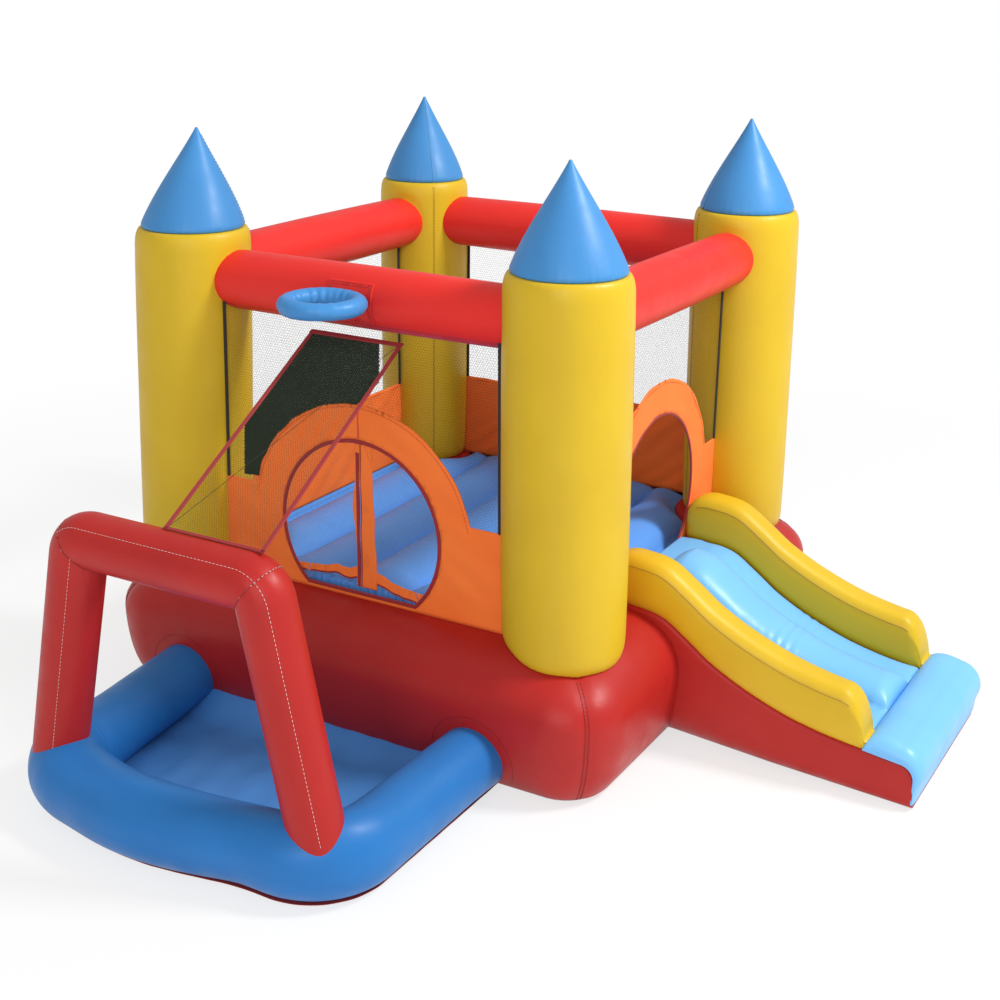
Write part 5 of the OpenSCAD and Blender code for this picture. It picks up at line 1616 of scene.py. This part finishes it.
# %% Zip tape and slider
zip_low, zip_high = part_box("zip_tape")
slider_low, slider_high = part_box("zip_slider")
zx = np.linspace(zip_low.x, zip_high.x, 40)
zip_y, zip_z = (zip_low.y + zip_high.y) / 2, (zip_low.z + zip_high.z) / 2
ribbon = tape("zip_tape_cloth", xyz(zx, zip_y - 0.001, zip_z), (0, 0, 1.0), zip_high.z - zip_low.z, 0.005)
piece("zip_tape_cloth", ribbon, black_tape, stands_for=["zip_tape"])


def rounded_block(low, high, edge):
    """Block with rounded edges between two corners."""
    low, high = Vector(low), Vector(high)
    mesh = bpy.data.meshes.new("block")
    with reshaped(mesh) as work:
        bmesh.ops.create_cube(work, size=1)
        for vert in work.verts:
            vert.co = Vector([m + c * s for m, c, s in zip((low + high) / 2, vert.co, high - low)])
        bmesh.ops.bevel(work, geom=work.edges[:], offset=edge, segments=3, affect="EDGES", profile=0.6)
    return sewn(mesh, sharp=50)


SLIDER = {
    "body": dict(x=(0.0, 0.026), thin=0.0, half_z=0.009, edge=0.0022),
    "neck": dict(x=(0.018, 0.032), thin=0.001, half_z=0.004, edge=0.0015),
    "tab": dict(x=(0.028, slider_high.x - slider_low.x), thin=0.0015, half_z=0.0075, edge=0.0014),
}
blocks = [
    rounded_block((slider_low.x + s["x"][0], slider_low.y + s["thin"], zip_z - s["half_z"]),
                  (slider_low.x + s["x"][1], slider_high.y - s["thin"], zip_z + s["half_z"]), s["edge"])
    for s in SLIDER.values()]
piece("zip_slider_metal", joined("zip_slider_metal", blocks), zinc, "zip_pull", ["zip_slider"])
print("zip tape and slider")

# %% Anchor tabs and eyelets
tabs_low, tabs_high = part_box("anchor_tabs")
ANCHORS = {(0.690, 1.135): (0, 1), (-0.690, 1.135): (0, 1), (-1.135, 0.690): (-1, 0), (-1.135, -0.690): (-1, 0)}
EYELET = [(0.008, 0.0004), (0.008, 0.0062), (0.0092, 0.0074), (0.0118, 0.0074), (0.0142, 0.0062), (0.0142, 0.0004)]
section = circle_of(48)
reach = np.linspace(-0.090, 0.030, 24)
webs, rings = [], []
for (ax, ay), (ox, oy) in ANCHORS.items():
    webs.append(tape("tab", xyz(ax + ox * reach, ay + oy * reach, 0.0032), (oy, ox, 0.0), 0.052, 0.0044))
    rows = [xyz(ax + r * np.cos(section), ay + r * np.sin(section), h) for r, h in EYELET + EYELET[:1]]
    rings.append(skin("ring", rows, sharp=50))
piece("anchor_tab_tape", joined("anchor_tab_tape", webs), black_tape, stands_for=["anchor_tabs"])
piece("anchor_eyelet_metal", joined("anchor_eyelet_metal", rings), zinc, stands_for=["anchor_eyelets"])
print("four anchor tabs, box", [round(v, 3) for v in (*tabs_low, *tabs_high)])

# %% [markdown]
# ## Stitches, welts and zip teeth
# A row of stitches is one short piece of thread that repeats along a path on the cloth. A welt is a thin round cord
# in a seam. Both are grown from lines that lie on the skins. Real stitches are 4 mm long, too small to show, so they
# are drawn at 9 mm.

# %% Stitch and welt trees
stitch_tree, given = new_tree("stitch_row", {
    "Pitch": "Float", "Length": "Float", "Radius": "Float", "Sides": "Int", "Thread": "Material"})
path = add(stitch_tree, "GeometryNodeMeshToCurve", {"Mesh": given["Geometry"]})
spaced = add(stitch_tree, "GeometryNodeResampleCurve", {"Curve": path.outputs[0], "Length": given["Pitch"]},
             mode="LENGTH")
loop = add(stitch_tree, "GeometryNodeMeshCylinder", {
    "Vertices": given["Sides"], "Radius": given["Radius"], "Depth": given["Length"]})
way = add(stitch_tree, "FunctionNodeAlignRotationToVector", {
    "Vector": add(stitch_tree, "GeometryNodeInputTangent").outputs[0]}, axis="Z")
row = add(stitch_tree, "GeometryNodeInstanceOnPoints", {
    "Points": spaced.outputs[0], "Instance": loop.outputs["Mesh"], "Rotation": way.outputs[0]})
end_tree(stitch_tree, row.outputs[0], given["Thread"])

welt_tree, given = new_tree("welt", {"Radius": "Float", "Sides": "Int", "Cord": "Material"})
path = add(welt_tree, "GeometryNodeMeshToCurve", {"Mesh": given["Geometry"]})
ring = add(welt_tree, "GeometryNodeCurvePrimitiveCircle", {"Resolution": given["Sides"], "Radius": given["Radius"]})
cord = add(welt_tree, "GeometryNodeCurveToMesh", {
    "Curve": path.outputs[0], "Profile Curve": ring.outputs["Curve"], "Fill Caps": True})
end_tree(welt_tree, cord.outputs[0], given["Cord"])
print("stitch tree", len(stitch_tree.nodes), "nodes, welt tree", len(welt_tree.nodes), "nodes")


# %% Stitch and welt helpers
def lines(paths):
    """Mesh of edges from several paths; a path whose ends meet is a ring."""
    spots, edges = [], []
    for path in paths:
        first = len(spots)
        spots += [tuple(p) for p in path]
        edges += [(i, i + 1) for i in range(first, len(spots) - 1)]
    mesh = bpy.data.meshes.new("lines")
    mesh.from_pydata(spots, edges, [])
    return mesh


def stitches(name, paths, thread, slot, pitch=0.013, length=0.009, radius=0.0012, sides=6):
    mesh = grown(stitch_tree, lines(paths), pitch=pitch, length=length, radius=radius, sides=sides, thread=thread)
    mesh.name = name
    piece(name, mesh, thread)


def welts(name, paths, cord, radius):
    mesh = grown(welt_tree, lines(paths), radius=radius, sides=8, cord=cord)
    mesh.name = name
    mesh.shade_smooth()
    piece(name, mesh, cord)


print("stitch and welt helpers are ready")

# %% Seams of the base
ROW_GAP, ARM_GAP = 0.0045, 0.04
heights = np.linspace(0.02, BASE_TOP - 0.03, 30)
paths = []
for sx, sy in CORNERS.values():
    for off in (-ROW_GAP, ROW_GAP):
        way = np.array([math.atan2(sy, sx) + off])
        paths.append([base_ring(way, inset, z)[0] * (0.9975, 0.9975, 1)
                      for inset, z in zip(side_inset(heights), heights)])
stitches("base_corner_stitches", paths, red_thread, "binding_red")
turn = np.radians(np.linspace(-32, 212, 60))
pz = PIT_R + (PIT_R + ARM_GAP) * np.sin(turn)
left_arm = bowed(np.array([[-PIT_HALF, -BASE_HALF]]))[0, 0]
paths = [xyz(arm_x + (PIT_R + ARM_GAP) * np.cos(turn), -BASE_HALF + side_inset(pz) - 0.0006, pz)
         for arm_x in (PIT_HALF, left_arm)]
stitches("pit_joint_stitches", paths, red_thread, "binding_red", radius=0.0008)
print("stitched seams of the base")

# %% Seams of towers, cones and goal
LIFT, SEAM_HALF = 0.0004, 0.012
tower_lines, cone_lines = [], []
for seed, (corner, (sx, sy)) in enumerate(CORNERS.items()):
    inner_way = math.atan2(-sy, -sx)
    z = np.linspace(BASE_TOP + 0.03, TOWER_TOP - 0.02, 60)
    axis = tower_axis(corner, z)
    for way in (inner_way - SEAM_HALF, inner_way + SEAM_HALF):
        radius = tower_radius(np.full(60, way), z, BASE_TOP, corner, seed) + LIFT
        tower_lines.append(xyz(axis[:, 0] + radius * math.cos(way), axis[:, 1] + radius * math.sin(way), z))
    share = np.linspace(0.03, 0.93, 40)
    radius, axis = cone_radius(corner, share) + LIFT, cone_axis(corner, share)
    cone_lines.append(xyz(
        axis[:, 0] + radius * math.cos(inner_way), axis[:, 1] + radius * math.sin(inner_way),
        TOWER_TOP + share * (cone_top - CONE_TIP - TOWER_TOP)))
stitches("tower_seam_stitches", tower_lines, gold_thread, "tower_yellow")
stitches("cone_seam_stitches", cone_lines, blue_thread, "cone_blue")

front_way = np.array([0, -1.0, 0])


def goal_line(way, far_share, seam_turn=0.75):
    """Seam along one tube of the goal, turned from its front towards its outside."""
    side_way = np.cross(way, (0, 1.0, 0))
    outward = side_way * np.sign(side_way @ bisector)
    ring = GOAL_R * (math.cos(seam_turn) * front_way + math.sin(seam_turn) * outward)
    start = -(ring @ mitre) / (way @ mitre)
    t = np.linspace(start, far_share, 140)
    return rounded_corner(LEG_TOP + ring * 1.006 + t[:, None] * way, way)


fine = dict(pitch=0.014, length=0.008, radius=0.0006)
bar_line = goal_line(bar_way, LEG_TOP[0])
goal_lines = [
    np.concatenate([bar_line, bar_line[:-1][::-1] * (-1, 1, 1)]),
    goal_line(-leg_way, leg_len - 0.12), goal_line(-leg_way, leg_len - 0.12, -0.45) * (-1, 1, 1)]
stitches("goal_seam_stitches", goal_lines, white_thread, "baffle_white", **fine)
mitre_ring = leg_rows[0] + (leg_rows[0] - LEG_TOP) * 0.004
mitre_rings = [np.concatenate([mitre_ring, mitre_ring[:1]]) * (sign, 1, 1) for sign in (-1, 1)]
welts("goal_mitre_welts", mitre_rings, red_thread, radius=0.0014)
upper_turn = mitre_ring[(mitre_ring - LEG_TOP) @ bisector > -0.02]
upper_turn = upper_turn[np.argsort(upper_turn[:, 1])]
mitre_lines = [(upper_turn + 0.0016 * bisector) * (sign, 1, 1) for sign in (-1, 1)]
stitches("goal_mitre_stitches", mitre_lines, white_thread, "baffle_white", **fine)
print("stitched seams of towers, cones and goal")

# %% Seams of panels, patch, slide and zip
HEM_IN, FACE_OUT = 0.012, 0.0035
paths = []
for quarter, wall in enumerate(WALLS):
    spec = panels[wall]
    if wall in ("front", "right"):
        foot = math.degrees(math.asin((spec["z1"] - DOOR_Z) / ARCH_R))
        u, z = arc((0, DOOR_Z), ARCH_R - HEM_IN, foot - 2, 182 - foot, 60).T
    else:
        u, z = np.linspace(-spec["half"] + 0.02, spec["half"] - 0.02, 60), spec["z1"] - HEM_IN
    paths += [turned(xyz(u, -spec["out"] + face, z), quarter) for face in (-FACE_OUT, FACE_OUT)]
stitches("panel_hem_stitches", paths, orange_thread, "panel_orange")

paths, lift = [], BEAM_R + 0.0066
for inset in (0.008, 0.016):
    x0, x1 = patch_low.x + inset, patch_high.x - inset
    t0, t1 = pt[0] + inset / BEAM_R, pt[-1] - inset / BEAM_R
    corners = [(x0, t0), (x1, t0), (x1, t1), (x0, t1), (x0, t0)]
    x, t = np.concatenate([np.linspace(p, q, 16) for p, q in zip(corners[:-1], corners[1:])]).T
    paths.append(xyz(x, -TOWER_HALF - lift * np.cos(t), BEAM_Z + lift * np.sin(t)))
stitches("patch_stitches", paths, red_thread, "binding_red", radius=0.001)

WELT_SHARE = 0.80
x = np.linspace(SLIDE_X0 + 0.05, SLIDE_X1 - 0.06, 90)
level = 2 * WELT_SHARE - 1
reach = (RAIL_W / 2) * math.cos(math.asin(level ** (1 / RAIL_POWER))) ** RAIL_POWER * (1 + RAIL_FULL * (1 - level ** 2))
paths = [xyz(x, sign * (SLIDE_HALF - RAIL_W / 2) + face * (reach + 0.0008), slide_z(x) + WELT_SHARE * rail_rise(x))
         for sign in (-1, 1) for face in (-1, 1)]
welts("rail_welts", paths, gold_thread, radius=0.0018)
zip_teeth = [xyz(zx, zip_high.y + 0.0004, zip_z + dz) for dz in (-0.0022, 0.0022)]
stitches("zip_teeth", zip_teeth, acetal, "zip_grey", pitch=0.004, length=0.0026, radius=0.0019, sides=8)
print("stitched seams of panels, patch, slide and zip")

# %% [markdown]
# ## Webs inside
# The webs that tie the floor and the slide are shut inside, so their CAD shape is right and they only take the
# woven cloth's finish.

# %% Webs inside
for node in ("floor_baffles", "slide_baffles"):
    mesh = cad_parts[node].data
    mesh.materials.clear()
    mesh.materials.append(web_cloth)
print("webs take", web_cloth.name)
